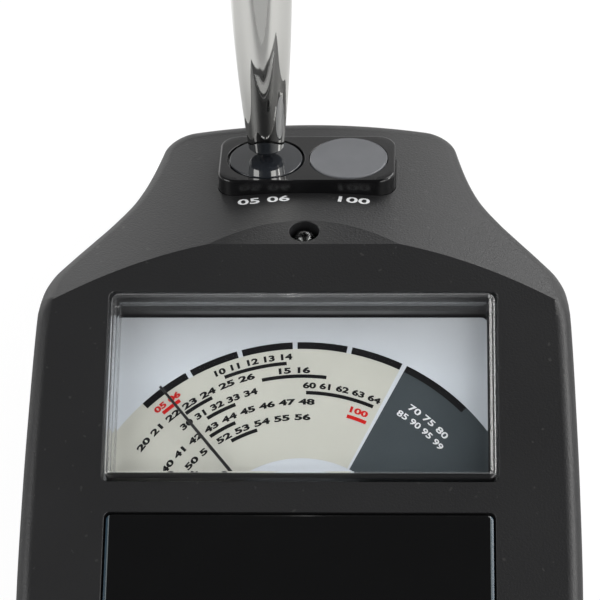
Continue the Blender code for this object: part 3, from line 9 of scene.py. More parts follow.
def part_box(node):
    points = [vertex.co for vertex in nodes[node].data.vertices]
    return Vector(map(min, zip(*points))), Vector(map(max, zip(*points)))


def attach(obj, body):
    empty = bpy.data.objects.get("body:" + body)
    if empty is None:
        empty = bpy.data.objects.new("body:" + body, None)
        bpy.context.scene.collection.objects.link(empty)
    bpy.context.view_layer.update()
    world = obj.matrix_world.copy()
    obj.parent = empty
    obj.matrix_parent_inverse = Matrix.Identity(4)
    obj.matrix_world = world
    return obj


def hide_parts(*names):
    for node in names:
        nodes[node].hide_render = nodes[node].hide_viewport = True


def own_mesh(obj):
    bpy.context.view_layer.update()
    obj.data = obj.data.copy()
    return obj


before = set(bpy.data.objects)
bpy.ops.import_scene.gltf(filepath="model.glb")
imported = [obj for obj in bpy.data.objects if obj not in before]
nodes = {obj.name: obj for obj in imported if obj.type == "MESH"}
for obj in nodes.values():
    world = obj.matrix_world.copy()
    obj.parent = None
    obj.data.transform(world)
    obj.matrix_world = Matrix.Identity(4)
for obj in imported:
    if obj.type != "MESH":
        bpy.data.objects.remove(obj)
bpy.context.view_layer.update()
mm = 0.001
print("frame loaded with", len(nodes), "nodes")


def millimetres(given):
    # A dictionary of sizes in millimetres, made metres, also inside tuples
    scaled = lambda value: tuple(map(scaled, value)) if isinstance(value, tuple) else value * mm
    return {name: scaled(value) for name, value in given.items()}


# Where the photograph was taken from. The axes are the camera's own right and its back, away from the object
cameraPlace = {
    "lens": 175.0, "clip": (0.01, 20),
    "spot": (0.0158875, -0.1089387, 0.4035044),
    "right": (0.99918506, 0.01495858, -0.03748934),
    "back": (0.04036186, -0.37858922, 0.92468434),
}


def addObject(name, data):
    piece = bpy.data.objects.new(name, data)
    bpy.context.collection.objects.link(piece)
    return piece


def addCamera():
    lens = bpy.data.cameras.new("camera")
    lens.lens = cameraPlace["lens"]
    lens.clip_start, lens.clip_end = cameraPlace["clip"]
    camera = addObject("camera", lens)
    right, back = Vector(cameraPlace["right"]).normalized(), Vector(cameraPlace["back"]).normalized()
    turn = Matrix((right, back.cross(right), back)).transposed()
    camera.matrix_world = Matrix.Translation(cameraPlace["spot"]) @ turn.to_4x4()
    bpy.context.scene.camera = camera


# ---- shader tools

class Wire:
    # An output socket. Sums on it, in either order, add Math nodes
    def __init__(self, finish, socket):
        self.finish, self.socket = finish, socket

    def calc(self, operation, first, second=0.0):
        return self.finish.node("ShaderNodeMath", {"operation": operation}, {0: first, 1: second})

    def __add__(self, other):
        return self.calc("ADD", self, other)

    def __sub__(self, other):
        return self.calc("SUBTRACT", self, other)

    def __rsub__(self, other):
        return self.calc("SUBTRACT", other, self)

    def __mul__(self, other):
        return self.calc("MULTIPLY", self, other)

    def __truediv__(self, other):
        return self.calc("DIVIDE", self, other)

    __radd__, __rmul__ = __add__, __mul__

    def size(self):
        return self.calc("ABSOLUTE", self)

    def root(self):
        return self.calc("SQRT", self)

    def larger(self, other):
        return self.calc("MAXIMUM", self, other)

    def clamped(self, low, high):
        # 0 at low, 1 at high, and straight between them
        ranged = {"From Min": low, "From Max": high, "Value": self}
        return self.finish.node("ShaderNodeMapRange", {"clamp": True}, ranged)


class Finish:
    # One node tree while it is being wired
    def __init__(self, owner):
        owner.use_nodes = True
        self.owner, self.tree = owner, owner.node_tree
        self.tree.nodes.clear()

    def node(self, kind, settings=None, links=None, output=0):
        # Adds any node: settings first, then the values or wires of its sockets
        made = self.tree.nodes.new(kind)
        for key, value in (settings or {}).items():
            setattr(made, key, value)
        for key, value in (links or {}).items():
            if isinstance(value, Wire):
                self.tree.links.new(value.socket, made.inputs[key])
            else:
                made.inputs[key].default_value = value
        return Wire(self, made.outputs[output])

    def place(self, stretch=(1, 1, 1), turn=(0, 0, 0)):
        spot = self.node("ShaderNodeTexCoord", output="Object")
        return self.node("ShaderNodeMapping", None, {"Vector": spot, "Scale": stretch, "Rotation": turn})

    def along(self, axis):
        return self.node("ShaderNodeSeparateXYZ", None, {0: self.node("ShaderNodeTexCoord", output="Object")}, axis)

    def noise(self, scale, detail=3.0, rough=0.5, stretch=(1, 1, 1), turn=(0, 0, 0)):
        links = {"Vector": self.place(stretch, turn), "Scale": scale, "Detail": detail, "Roughness": rough}
        return self.node("ShaderNodeTexNoise", None, links)

    def ray(self, kind):
        return self.node("ShaderNodeLightPath", output=kind)

    def dot(self, first, second):
        return self.node("ShaderNodeVectorMath", {"operation": "DOT_PRODUCT"}, {0: first, 1: second}, "Value")

    def mix(self, factor, first, second):
        colour = lambda value: value if isinstance(value, Wire) else (*value, 1.0)
        return self.node("ShaderNodeMix", {"data_type": "RGBA"}, {0: factor, 6: colour(first), 7: colour(second)}, 2)

    def blend(self, factor, first, second):
        return self.node("ShaderNodeMixShader", None, {0: factor, 1: first, 2: second})

    def surface(self, colour, rough, relief=None, **rest):
        # Relief is (height, distance, strength). Rest is the other sockets, with _ for a space
        links = {"Base Color": colour, "Roughness": rough}
        links.update({key.replace("_", " "): value for key, value in rest.items()})
        if relief:
            links["Normal"] = self.node("ShaderNodeBump", None, dict(zip(("Height", "Distance", "Strength"), relief)))
        return self.node("ShaderNodeBsdfPrincipled", None, links)

    def output(self, shader, kind="ShaderNodeOutputMaterial"):
        end = self.tree.nodes.new(kind)
        self.tree.links.new(shader.socket, end.inputs["Surface"])
        return self.owner


def newFinish(name):
    return Finish(bpy.data.materials.new(name))


# ---- finishes. Colours are linear, and masks along X, Y and Z are places on the object

def mouldedPlastic():
    # Charcoal ABS with a fine spark grain, faint tone patches and a few specks of dust
    f = newFinish("moulded plastic")
    grain, patches = f.noise(3200, 2.0, 0.6), f.noise(60, 3.0)
    dust = f.noise(900, 1.0).clamped(0.735, 0.76)
    tone = f.mix(patches, (0.0165, 0.0166, 0.0175), (0.0200, 0.0201, 0.0211))
    tone = f.mix(dust * 0.3, tone, (0.09, 0.09, 0.085))
    return f.output(f.surface(tone, 0.34 + patches * 0.06 + grain * 0.06, (grain, 0.00005, 0.9), IOR=1.5))


def glossPlastic(name="gloss plastic", colour=(0.006, 0.006, 0.0065), gloss=0.035, dull=0.2):
    # Polished black with the faint haze of handling, duller on the block's front wall
    f = newFinish(name)
    wall = f.dot(f.node("ShaderNodeNewGeometry", output="Normal"), (0, -0.829, 0.559)).clamped(0.94, 0.99)
    haze = f.noise(130, 4.0, 0.6, (1, 2.2, 1))
    tone = f.mix(haze.clamped(0.5, 0.8), colour, tuple(c * 2.2 for c in colour))
    rough = gloss + haze.clamped(0.45, 0.75) * 0.05 + wall * dull
    return f.output(f.surface(tone, rough, (f.noise(45, 1.0), 0.0002, 0.05), IOR=1.46))


def grainy(name, first, second, rough, spread, scale, detail, relief):
    # Plain stuff with one grain for its tone, its roughness and its relief
    f = newFinish(name)
    grain = f.noise(scale, detail)
    return f.output(f.surface(f.mix(grain, first, second), rough + grain * spread, (grain, *relief)))


def labelFace():
    # Black panel. The bevels of its two long sides have a painted blue highlight, with a painted pale highlight line
    # inside it
    f = newFinish("label face")
    low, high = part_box("label_panel")
    rim = f.along("X").size() - (high.x - low.x) / 2
    paintedBlueHighlight = rim.clamped(-0.34 * mm, -0.24 * mm)
    paintedPaleLine = rim.clamped(-0.46 * mm, -0.40 * mm) * rim.clamped(-0.26 * mm, -0.34 * mm)
    tone = f.mix(paintedPaleLine, f.mix(paintedBlueHighlight, (0.0066, 0.0067, 0.0070), (0.012, 0.045, 0.075)), (0.16, 0.19, 0.205))
    rough = 0.11 + f.noise(160, 4.0, 0.6).clamped(0.4, 0.8) * 0.1
    return f.output(f.surface(tone, rough, (f.noise(2600, 2.0), 0.000012, 0.25), IOR=1.46))


def clearAcrylic():
    # Clear moulding with faint wipe marks, a finely ground edge, a painted highlight on its rim and painted shade on
    # its near bevel. Direct light passes it, so that what is behind isn't in its shadow
    f = newFinish("clear acrylic")
    wipe = f.noise(90, 5.0, 0.6, (1, 3.5, 1), (0, 0, 0.5))
    streaks = f.noise(500, 3.0, 0.6, (1, 1, 0.2))
    low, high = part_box("meter_lens")
    flange = 1.5 * mm  # round the plate, under the case
    middle, half = (low + high) / 2, (high - low) / 2 - Vector((flange, flange, 0))
    inside = (f.along("X").size() - half.x).larger((f.along("Y") - middle.y).size() - half.y)
    above = f.along("Z").clamped(high.z - 1.2 * mm, high.z - 1.0 * mm)
    edge = inside.clamped(-0.84 * mm, -0.76 * mm) * above
    # rim: where white is mixed in as a painted highlight along the rounded edge
    rim = inside.clamped(-0.20 * mm, -0.14 * mm) * above
    # near: the near bevel, made dark as painted shade
    near = f.along("Y").clamped(low.y + 2.18 * mm, low.y + 2.06 * mm)
    skirt = f.along("Z").clamped(high.z - 1.65 * mm, high.z - 1.8 * mm)
    rough = wipe.clamped(0.62, 0.85) * 0.05 + edge * (0.12 + streaks * 0.08)
    clear = f.surface((0.975, 0.985, 0.99, 1), rough, IOR=1.49, Transmission_Weight=1.0)
    # A little white where it is ground, most of it on the rim, where it is a painted highlight, and on the satin
    # skirt; dark on the near bevel, a painted shade
    frostAndPaintedLight = f.surface(f.mix(near, (0.75, 0.75, 0.76), (0.012, 0.012, 0.013)), 0.3)
    share = (edge * 0.03 + rim * (0.10 + streaks * 0.16) + skirt * 0.045).larger(near * 0.93)
    through = f.node("ShaderNodeBsdfTransparent", None, {"Color": (0.95, 0.96, 0.965, 1)})
    return f.output(f.blend(f.ray("Is Shadow Ray"), f.blend(share, clear, frostAndPaintedLight), through))


def printed(f, tone, rough, mottle, specular=0.2):
    # Ink and card: a faint paper grain
    relief = (f.noise(2500, 2.0), 0.00001, 0.3)
    return f.output(f.surface(tone, rough + mottle * 0.1, relief, Specular_IOR_Level=specular))


def printedInk(name, first, second, rough=0.6, specular=0.2):
    f = newFinish(name)
    mottle = f.noise(220, 3.0)
    return printed(f, f.mix(mottle, first, second), rough, mottle, specular)


def dialPaper():
    # White card with painted shade: darker toward its far edge, where the housing shades it
    f = newFinish("dial card")
    mottle = f.noise(220, 3.0)
    shaded = f.mix(mottle, (0.46, 0.475, 0.50), (0.49, 0.505, 0.53))
    white = f.mix(mottle, (0.63, 0.665, 0.712), (0.66, 0.695, 0.742))
    return printed(f, f.mix(f.along("Y").clamped(43.5 * mm, 33.5 * mm), shaded, white), 0.6, mottle)


def borderInk():
    # Black border of the card, with painted light: its left and near sides, under the cover's edge, are a streaked
    # grey for the card seen through that edge, and the middle of its far side is a lighter grey
    f = newFinish("border ink")
    streaks = f.noise(260, 4.0, 0.6, (6, 0.6, 1))
    left = f.along("X").clamped(-25.0 * mm, -25.6 * mm) * f.along("Y").clamped(45.5 * mm, 30 * mm)
    # far: painted light, a lighter grey in the middle of the far side
    far = f.along("Y").clamped(42.85 * mm, 43.15 * mm) * f.along("X").size().clamped(30 * mm, 12 * mm)
    near = f.along("Y").clamped(20.0 * mm, 19.6 * mm) * f.along("X").clamped(6 * mm, 1 * mm)
    # painted light: a streaked grey on the left and near sides
    paintedLightGrey = f.mix(streaks, (0.13, 0.13, 0.135), (0.30, 0.30, 0.305))
    black = f.mix(far, (0.008, 0.008, 0.009), (0.11, 0.11, 0.113))
    return f.output(f.surface(f.mix(left.larger(near), black, paintedLightGrey), 0.42 + streaks * 0.1, Specular_IOR_Level=0.12))


def chromePlate():
    # Bright plating: slight waves, and the haze of fingers in the roughness
    f = newFinish("chrome plate")
    haze = f.noise(70, 4.0, 0.65, (1, 1, 0.4))
    tone = f.mix(haze, (0.70, 0.70, 0.675), (0.78, 0.78, 0.755))
    rough = 0.035 + haze.clamped(0.45, 0.8) * 0.07
    return f.output(f.surface(tone, rough, (f.noise(40, 1.0), 0.0002, 0.04), Metallic=1.0))


def bareMetal(name, colour, dark, rough, stretch, scale=1800):
    # Machined metal: fine lines drawn out along one way, with darker patches
    f = newFinish(name)
    lines, patches = f.noise(scale, 3.0, 0.6, stretch), f.noise(180, 4.0)
    tone = f.mix(patches.clamped(0.35, 0.7), colour, dark)
    return f.output(f.surface(tone, rough + lines * 0.16, (lines, 0.00001, 0.5), Metallic=1.0))


def copperWinding():
    # Fine enamelled wire: turns side by side
    f = newFinish("copper winding")
    wave = {"Vector": f.place(), "Scale": 1300.0, "Distortion": 0.4}
    turns = f.node("ShaderNodeTexWave", {"bands_direction": "Y"}, wave)
    tone = f.mix(turns, (0.22, 0.07, 0.03), (0.72, 0.31, 0.16))
    return f.output(f.surface(tone, 0.26 + turns * 0.1, (turns, 0.00004, 0.8), Metallic=1.0))


def groundDisc():
    # Reference disc: an evenly lapped grey face with a polished rim
    f = newFinish("lapped disc")
    lap, cloud = f.noise(5200, 2.0, 0.6), f.noise(240, 4.0, 0.55)
    low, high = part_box("reference_disc")
    middle, size = (low + high) / 2, (high - low) / 2
    across, along = f.along("X") - middle.x, (f.along("Y") - middle.y) * (size.x / size.y)
    matt = (across * across + along * along).root().clamped(size.x - 0.12 * mm, size.x - 0.22 * mm)
    tone = f.mix(cloud.clamped(0.3, 0.7), (0.125, 0.13, 0.142), (0.145, 0.15, 0.162))
    return f.output(f.surface(tone, 0.1 + matt * (0.24 + lap * 0.1), (lap, 0.000015, 0.4), IOR=1.6))


def darkGlass():
    f = newFinish("dark glass")
    wipe = f.noise(420, 4.0, 0.6, (1, 3, 1), (0, 0, 0.7))
    tone = f.mix(wipe.clamped(0.5, 0.8), (0.017, 0.0195, 0.024), (0.026, 0.029, 0.035))
    return f.output(f.surface(tone, 0.04 + wipe.clamped(0.55, 0.8) * 0.05, IOR=1.62))


def solderMask():
    # Board: green mask over raised tracks, with tinned pads
    f = newFinish("solder mask")
    tracks = f.node("ShaderNodeTexBrick", {"offset": 0.5, "squash": 0.6}, {
        "Vector": f.place(), "Scale": 210.0, "Mortar Size": 0.035,
        "Color1": (0, 0, 0, 1), "Color2": (0, 0, 0, 1), "Mortar": (1, 1, 1, 1),
    }, "Fac")
    pads = f.node("ShaderNodeTexVoronoi", None, {"Vector": f.place(), "Scale": 330}).clamped(0.16, 0.12)
    tone = f.mix(pads, f.mix(tracks, (0.006, 0.05, 0.022), (0.012, 0.105, 0.04)), (0.62, 0.62, 0.58))
    return f.output(f.surface(tone, 0.3 + f.noise(900, 3.0) * 0.12, (tracks + pads, 0.00005, 0.5), Metallic=pads))


def cellWrap():
    # Printed sleeve of a cell: charcoal, with a copper-coloured band toward its positive end, and bare steel ends
    f = newFinish("cell wrap")
    low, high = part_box("battery_1")
    along, length = f.along("Y"), high.y - low.y
    band = along.clamped(low.y + 0.72 * length, low.y + 0.725 * length)
    steel = along.clamped(high.y - 2.1 * mm, high.y - 2.0 * mm)
    steel = steel + (1 - along.clamped(low.y + 1.0 * mm, low.y + 1.1 * mm))
    wear = f.noise(260, 5.0, 0.6, (1, 0.3, 1))
    tone = f.mix(steel, f.mix(band, (0.02, 0.021, 0.023), (0.55, 0.27, 0.10)), (0.6, 0.6, 0.6))
    return f.output(f.surface(tone, 0.2 + wear * 0.16, (wear, 0.00004, 0.2), Metallic=steel * 0.9 + band * 0.55))


def lampResin():
    # Lamp body: smoky resin with a little cloud in it
    f = newFinish("lamp resin")
    cloud = f.noise(900, 3.0)
    tone = f.mix(cloud, (0.28, 0.285, 0.29), (0.42, 0.425, 0.43))
    return f.output(f.surface(tone, 0.05 + cloud * 0.2, IOR=1.5, Transmission_Weight=1.0))


def makeFinishes():
    turnedLines, drawnLines = (1, 1, 0.1), (0.2, 0.2, 1)
    return {
        "case_plastic": mouldedPlastic(),
        "gloss_black": glossPlastic(),
        "label": labelFace(),
        "black_plastic": grainy(
            "satin plastic", (0.012, 0.012, 0.013), (0.02, 0.02, 0.021), 0.32, 0.12, 2400, 3.0, (0.00002, 0.4)),
        "clear_acrylic": clearAcrylic(),
        "dial_card": dialPaper(),
        "border": borderInk(),
        "meter case": glossPlastic("meter plastic", (0.16, 0.16, 0.166), 0.16, 0.0),
        "cream ink": printedInk("cream ink", (0.575, 0.57, 0.51), (0.60, 0.595, 0.535)),
        "slate ink": printedInk("slate ink", (0.052, 0.064, 0.071), (0.06, 0.073, 0.081), 0.42),
        "black ink": printedInk("black ink", (0.006, 0.006, 0.007), (0.010, 0.010, 0.011), 0.4, 0.12),
        "red ink": printedInk("red ink", (0.56, 0.008, 0.008), (0.64, 0.014, 0.012), 0.4),
        "white ink": printedInk("white ink", (0.80, 0.81, 0.82), (0.86, 0.87, 0.88), 0.45),
        "dark_glass": darkGlass(),
        "grey_disc": groundDisc(),
        "chrome": chromePlate(),
        "bright_steel": bareMetal("bright steel", (0.56, 0.56, 0.57), (0.42, 0.42, 0.43), 0.2, turnedLines),
        "brass": bareMetal("turned brass", (0.72, 0.50, 0.20), (0.5, 0.32, 0.12), 0.2, turnedLines),
        "copper": copperWinding(),
        "copper tip": bareMetal("copper tip", (0.085, 0.05, 0.04), (0.03, 0.02, 0.018), 0.3, drawnLines),
        "soft_iron": bareMetal("soft iron", (0.30, 0.30, 0.31), (0.17, 0.17, 0.18), 0.36, (1, 1, 0.2), 900),
        "board_green": solderMask(),
        "battery_wrap": cellWrap(),
        "clear_lamp": lampResin(),
        "ceramic": grainy("ceramic", (0.62, 0.6, 0.55), (0.78, 0.76, 0.7), 0.5, 0.1, 1500, 4.0, (0.00003, 0.4)),
    }


looks = makeFinishes()
print("finishes made:", len(looks))


# ---- surfaces worked out with numpy. A form is (points, faces)

def quads(rows, columns, wrap=True, first=0):
    # Faces between neighbouring rows of a grid. Wrap joins the last column to the first
    r = np.arange(rows - 1)[:, None]
    c = np.arange(columns if wrap else columns - 1)[None, :]
    d = (c + 1) % columns
    corners = np.stack([r * columns + c, r * columns + d, (r + 1) * columns + d, (r + 1) * columns + c], -1)
    return (first + corners.reshape(-1, 4)).tolist()


def lofted(rings):
    # Closed rings, one after another, with a flat face over the first and the last
    rings = np.asarray(rings, float)
    rows, columns = rings.shape[:2]
    ends = [list(range(columns)), list(range((rows - 1) * columns, rows * columns))]
    return rings.reshape(-1, 3), quads(rows, columns) + ends


def ringed(rings):
    # Closed rings whose last row meets the first, as on a tube's wall
    rings = np.concatenate([rings, rings[:1]])
    return rings.reshape(-1, 3), quads(len(rings), rings.shape[1])


def turned(profile, sides=96):
    # A profile of (radius, height) carried round Z: x = r cos a, y = r sin a
    profile = np.asarray(profile, float)
    radius, height = profile[:, :1], np.broadcast_to(profile[:, 1:], (len(profile), sides))
    angle = np.linspace(0, 2 * math.pi, sides, endpoint=False)
    rings = np.stack([radius * np.cos(angle), radius * np.sin(angle), height], -1)
    if profile[0, 0] > 0 and profile[-1, 0] > 0:
        return ringed(rings)
    return rings.reshape(-1, 3), quads(len(rings), sides)


def softened(points, radii, steps=5, closed=False):
    # A polyline with its corners turned into arcs, whose radii are in millimetres: each arc is a rational quadratic
    # whose weight is cos of half the turn
    points = np.asarray(points, float)
    made = []
    for i, (corner, radius) in enumerate(zip(points, np.broadcast_to(radii, len(points)) * mm)):
        if radius == 0 or (not closed and i in (0, len(points) - 1)):
            made.append(corner[None])
            continue
        before, after = points[i - 1] - corner, points[(i + 1) % len(points)] - corner
        lengths = np.linalg.norm(before), np.linalg.norm(after)
        before, after = before / lengths[0], after / lengths[1]
        half = (math.pi - math.acos(np.clip(before @ after, -1, 1))) / 2
        reach = min(radius * math.tan(half), 0.49 * lengths[0], 0.49 * lengths[1])
        t = np.linspace(0, 1, steps + 1)[:, None]
        a, b, w = corner + before * reach, corner + after * reach, math.cos(half)
        pull = 2 * w * t * (1 - t)
        made.append(((1 - t) ** 2 * a + pull * corner + t * t * b) / ((1 - t) ** 2 + pull + t * t))
    return np.concatenate(made)


def panel(width, depth, corner, steps=8, x=0.0, y=0.0):
    # Rounded rectangle in X and Y, as a function of its inset: corner centres plus arcs. Below 0 it grows
    turn = (np.arange(4)[:, None] + np.linspace(0, 1, steps + 1)) * math.pi / 2
    least = 0.05 * mm  # of the corner's radius

    def edge(inset=0.0):
        radius = max(corner - inset, least)
        side = np.array([1, -1, -1, 1])[:, None] * (width / 2 - inset - radius)
        end = np.array([1, 1, -1, -1])[:, None] * (depth / 2 - inset - radius)
        return np.stack([x + side + radius * np.cos(turn), y + end + radius * np.sin(turn)], -1).reshape(-1, 2)
    return edge


def disc(radius, sides=72, x=0.0, y=0.0):
    # The same for a circle
    turn = np.linspace(0, 2 * math.pi, sides, endpoint=False)
    return lambda inset=0.0: np.stack([x + (radius - inset) * np.cos(turn), y + (radius - inset) * np.sin(turn)], -1)


def atHeight(ring, height):
    return np.column_stack([ring, np.broadcast_to(height, len(ring))])


def slab(outline, profile):
    # An outline carried along a profile of (inset, height) pairs
    return lofted([atHeight(outline(inset), height) for inset, height in profile])


def box(width, depth, low, high, x=0.0, y=0.0):
    corners = np.array([(-1, -1), (1, -1), (1, 1), (-1, 1)]) * (width, depth) / 2 + (x, y)
    return lofted([atHeight(corners, z) for z in (low, high)])


def peg(radius, low, high, sides, x=0.0, y=0.0):
    # A solid round bar, which stands at x and y
    return moved(turned([(0, low), (radius, low), (radius, high), (0, high)], sides), Matrix.Translation((x, y, 0)))


def flaredHole(outline, bottom, top, flare, above=0.6 * mm):
    # A cutter whose wall turns outward in an arc of 70 degrees just under the surface, so that the rim is rounded
    turn, clear = np.radians(np.linspace(0, 70, 7)), 0.08 * mm
    arc = [(-flare * (1 - math.cos(a)), top - flare + flare * math.sin(a)) for a in turn]
    out, height = arc[-1]
    run = (top + clear - height) * math.tan(turn[-1])
    return slab(outline, [(0.0, bottom), *arc, (out - run, top + clear), (out - run, top + above)])


def tubed(path, radius, sides=12):
    # A round wire along a helix about Z: each ring stands on the radial way and the one square to it and the path
    path = np.asarray(path, float)
    unit = lambda ways: ways / np.linalg.norm(ways, axis=1)[:, None]
    along = unit(np.gradient(path, axis=0))
    up = unit(np.cross(along, unit(path * (1, 1, 0))))
    radial = np.cross(up, along)
    angle = np.linspace(0, 2 * math.pi, sides, endpoint=False)[None, :, None]
    return lofted(path[:, None] + radius * (np.cos(angle) * radial[:, None] + np.sin(angle) * up[:, None]))


def moved(form, matrix):
    turn, shift = np.array(matrix.to_3x3()), np.array(matrix.translation)
    return form[0] @ turn.T + shift, form[1]


def joined(*forms):
    points, faces, start = [], [], 0
    for some, corners in forms:
        points.append(some)
        faces += [[start + c for c in face] for face in corners]
        start += len(some)
    return np.concatenate(points), faces


lyingDown = Matrix.Rotation(math.radians(-90), 4, "X")  # what stands on Z then points along Y


def addForm(name, form, clean=1e-7):
    # An object with a form in its mesh: poles and seams merged, faces outward
    mesh = bpy.data.meshes.new(name)
    mesh.from_pydata(form[0].tolist(), [], form[1])
    bm = bmesh.new()
    bm.from_mesh(mesh)
    bmesh.ops.remove_doubles(bm, verts=bm.verts, dist=clean)
    bmesh.ops.dissolve_degenerate(bm, edges=bm.edges, dist=clean / 2)
    bmesh.ops.recalc_face_normals(bm, faces=bm.faces)
    bm.to_mesh(mesh)
    bm.free()
    return addObject(name, mesh)


def carve(piece, *forms, operation="DIFFERENCE"):
    # Cuts forms that don't touch each other out of a piece, joins them on, or keeps what lies in them
    tool = addForm("tool", joined(*forms))
    cut = piece.modifiers.new("cut", "BOOLEAN")
    cut.operation, cut.object, cut.solver = operation, tool, "EXACT"
    bpy.context.view_layer.update()
    shaped = piece.evaluated_get(bpy.context.evaluated_depsgraph_get())
    mesh = bpy.data.meshes.new_from_object(shaped)
    piece.modifiers.clear()
    piece.data = mesh
    bpy.data.objects.remove(tool, do_unlink=True)


def finishPiece(piece, look, replaced=None, body="case", sharp=32, weighted=True):
    # Smooth faces with sharp edges kept, its finish, its body, and the node that it stands for
    mesh = piece.data
    mesh.materials.clear()
    mesh.materials.append(looks[look])
    mesh.shade_smooth()
    mesh.set_sharp_from_angle(angle=math.radians(sharp))
    if weighted:
        even = piece.modifiers.new("even light", "WEIGHTED_NORMAL")
        even.keep_sharp, even.weight = True, 60
    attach(piece, body)
    if replaced:
        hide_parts(replaced)


def addPiece(name, form, look, replaced=None, body="case", sharp=32):
    piece = addForm(name, form)
    finishPiece(piece, look, replaced, body, sharp)
    return piece


# ---- case outline, as in the solid: a half outline in plan, and a top of three faces

case = {
    **millimetres({
        "length": 157, "half width": 37.794, "height": 31, "wall": 2.2, "parting": 7.5, "gap": 0.3,
        "front edge": 2.2, "slope edge": 1.3, "back edge": 3, "break": 0.18, "lip": 1, "lip height": 1.2,
        "far crown": 1.2, "near corner": 16, "far corner": 3.2, "slope crown": 91.6, "chamfer lead": 1.43,
    }),
    "near crown": 0.031847, "edge blend": (0.55, 0.75), "slope drop": 0.719572,
    "draft": math.radians(1.5), "back draft": math.radians(2.0),
    "slope tilt": math.radians(34.0), "chamfer tilt": math.radians(24.67),
    # half width along the case, as shares of half the length and of the half width
    "sides": (
        (-1.0, 0.83), (-0.75, 0.885), (-0.5, 0.94), (-0.2, 0.985), (0.064, 1.0), (0.217, 0.997),
        (0.375, 0.989), (0.488, 0.981), (0.541, 0.975), (0.585, 0.963), (0.622, 0.934), (0.660, 0.874),
        (0.703, 0.798), (0.749, 0.720), (0.805, 0.647), (0.866, 0.599), (0.941, 0.559), (1.0, 0.534),
    ),
}
# how many points there are in the outline's parts, over the two cases' edges and between the stops of their rings
samples = {
    "near": 40, "side": 900, "far": 90, "corner": 60, "front edge": 12, "back edge": 10,
    "front": (8, 20, 56, 60, 14, 6, 14), "back": (8, 24, 90, 14, 14),
}
past, bite = 2 * mm, 0.6 * mm  # how far a cutter reaches beyond what it cuts, and a joined form into its neighbour
halfLength = case["length"] / 2
slopeY = halfLength - (case["height"] - case["parting"]) * case["slope drop"] / math.tan(case["slope tilt"])
chamferY = slopeY - case["chamfer lead"]
slopeFrame = Matrix.Translation((0, slopeY, case["height"])) @ Matrix.Rotation(-case["slope tilt"], 4, "X")


def smoothCurve(shares, at):
    # Cubic through pairs of shares, with harmonic mean slopes, so that it never overshoots
    x, y = np.array(shares).T
    step = np.diff(x)
    rise = np.diff(y) / step
    slope = np.zeros(len(x))
    same = rise[:-1] * rise[1:] > 0
    slope[1:-1][same] = 2 * (rise[:-1] * rise[1:])[same] / (rise[:-1] + rise[1:])[same]
    slope[0], slope[-1] = rise[0], rise[-1]
    i = np.clip(np.searchsorted(x, at) - 1, 0, len(step) - 1)
    t = (at - x[i]) / step[i]
    start = (1 + 2 * t) * (1 - t) ** 2 * y[i] + t * (1 - t) ** 2 * step[i] * slope[i]
    return start + t * t * (3 - 2 * t) * y[i + 1] + t * t * (t - 1) * step[i] * slope[i + 1]


def roundTo(start, corner, end, steps):
    # Round from start to end whose tangents meet at the corner: a rational quadratic with weight cos 45
    t = np.linspace(0.0, 1.0, steps + 1).reshape(-1, *[1] * np.ndim(start))
    pull = 2 * math.cos(math.radians(45)) * t * (1 - t)
    return ((1 - t) ** 2 * start + pull * corner + t**2 * end) / ((1 - t) ** 2 + pull + t**2)


def bothSides(right):
    # A full ring from its right half, which starts and ends on the middle line
    return np.concatenate([right, right[-2:0:-1] * np.array([-1, 1, 1])])


class Outline:
    # Right half of the plan outline by its length's share: near edge, corner, side, corner, far edge
    def __init__(self):
        nearWide, farWide = self.halfWidth(-halfLength), self.halfWidth(halfLength)
        nearCrown, farCrown = case["length"] * case["near crown"], case["far crown"]
        nearX = np.linspace(0.0, nearWide - case["near corner"], samples["near"])
        farX = np.linspace(farWide - case["far corner"], 0.0, samples["far"])
        near = np.stack([nearX, -halfLength + nearCrown * (nearX / nearWide) ** 2], axis=1)
        far = np.stack([farX, halfLength - farCrown * (farX / farWide) ** 2], axis=1)
        start, end = -halfLength + nearCrown + case["near corner"], halfLength - farCrown - case["far corner"]
        sideY = np.linspace(start, end, samples["side"])
        side = np.stack([self.halfWidth(sideY), sideY], axis=1)
        nearRound = roundTo(near[-1], self.meet(near[-2:], side[1::-1]), side[0], samples["corner"])
        farRound = roundTo(side[-1], self.meet(side[-2:], far[1::-1]), far[0], samples["corner"])
        pieces = [near, nearRound[1:-1], side, farRound[1:-1], far]
        self.points = np.concatenate(pieces)
        travelled = np.concatenate([[0.0], np.cumsum(np.linalg.norm(np.diff(self.points, axis=0), axis=1))])
        self.shares = travelled / travelled[-1]
        ends = np.cumsum([len(piece) for piece in pieces])
        self.nearRoundStart, self.sideStart = self.shares[ends[0] - 1], self.shares[ends[1]]
        self.sideEnd, self.farStart = self.shares[ends[2] - 1], self.shares[ends[3]]
        tangent = np.gradient(self.points, self.shares, axis=0)
        tangent[0], tangent[-1] = (1, 0), (-1, 0)
        tangent /= np.linalg.norm(tangent, axis=1)[:, None]
        self.outward = np.stack([tangent[:, 1], -tangent[:, 0]], axis=1)

    def halfWidth(self, y):
        return case["half width"] * smoothCurve(case["sides"], np.asarray(y) / halfLength)

    def meet(self, first, second):
        # Where the line through two points meets the line through two others
        a, b = first[0], first[1] - first[0]
        c, d = second[0], second[1] - second[0]
        return a + b * ((c[0] - a[0]) * d[1] - (c[1] - a[1]) * d[0]) / (b[0] * d[1] - b[1] * d[0])

    def at(self, share, inset):
        # Points at shares of the outline's length, moved in by the inset
        share = np.asarray(share)
        read = lambda values: np.stack([np.interp(share, self.shares, values[:, k]) for k in (0, 1)], axis=-1)
        place = read(self.points) - read(self.outward) * np.asarray(inset)[..., None]
        place[..., 0] = np.where((share == 0) | (share == 1), 0.0, place[..., 0])
        return place

    def ring(self, share, inset, height):
        return bothSides(atHeight(self.at(share, inset), height))


outline = Outline()


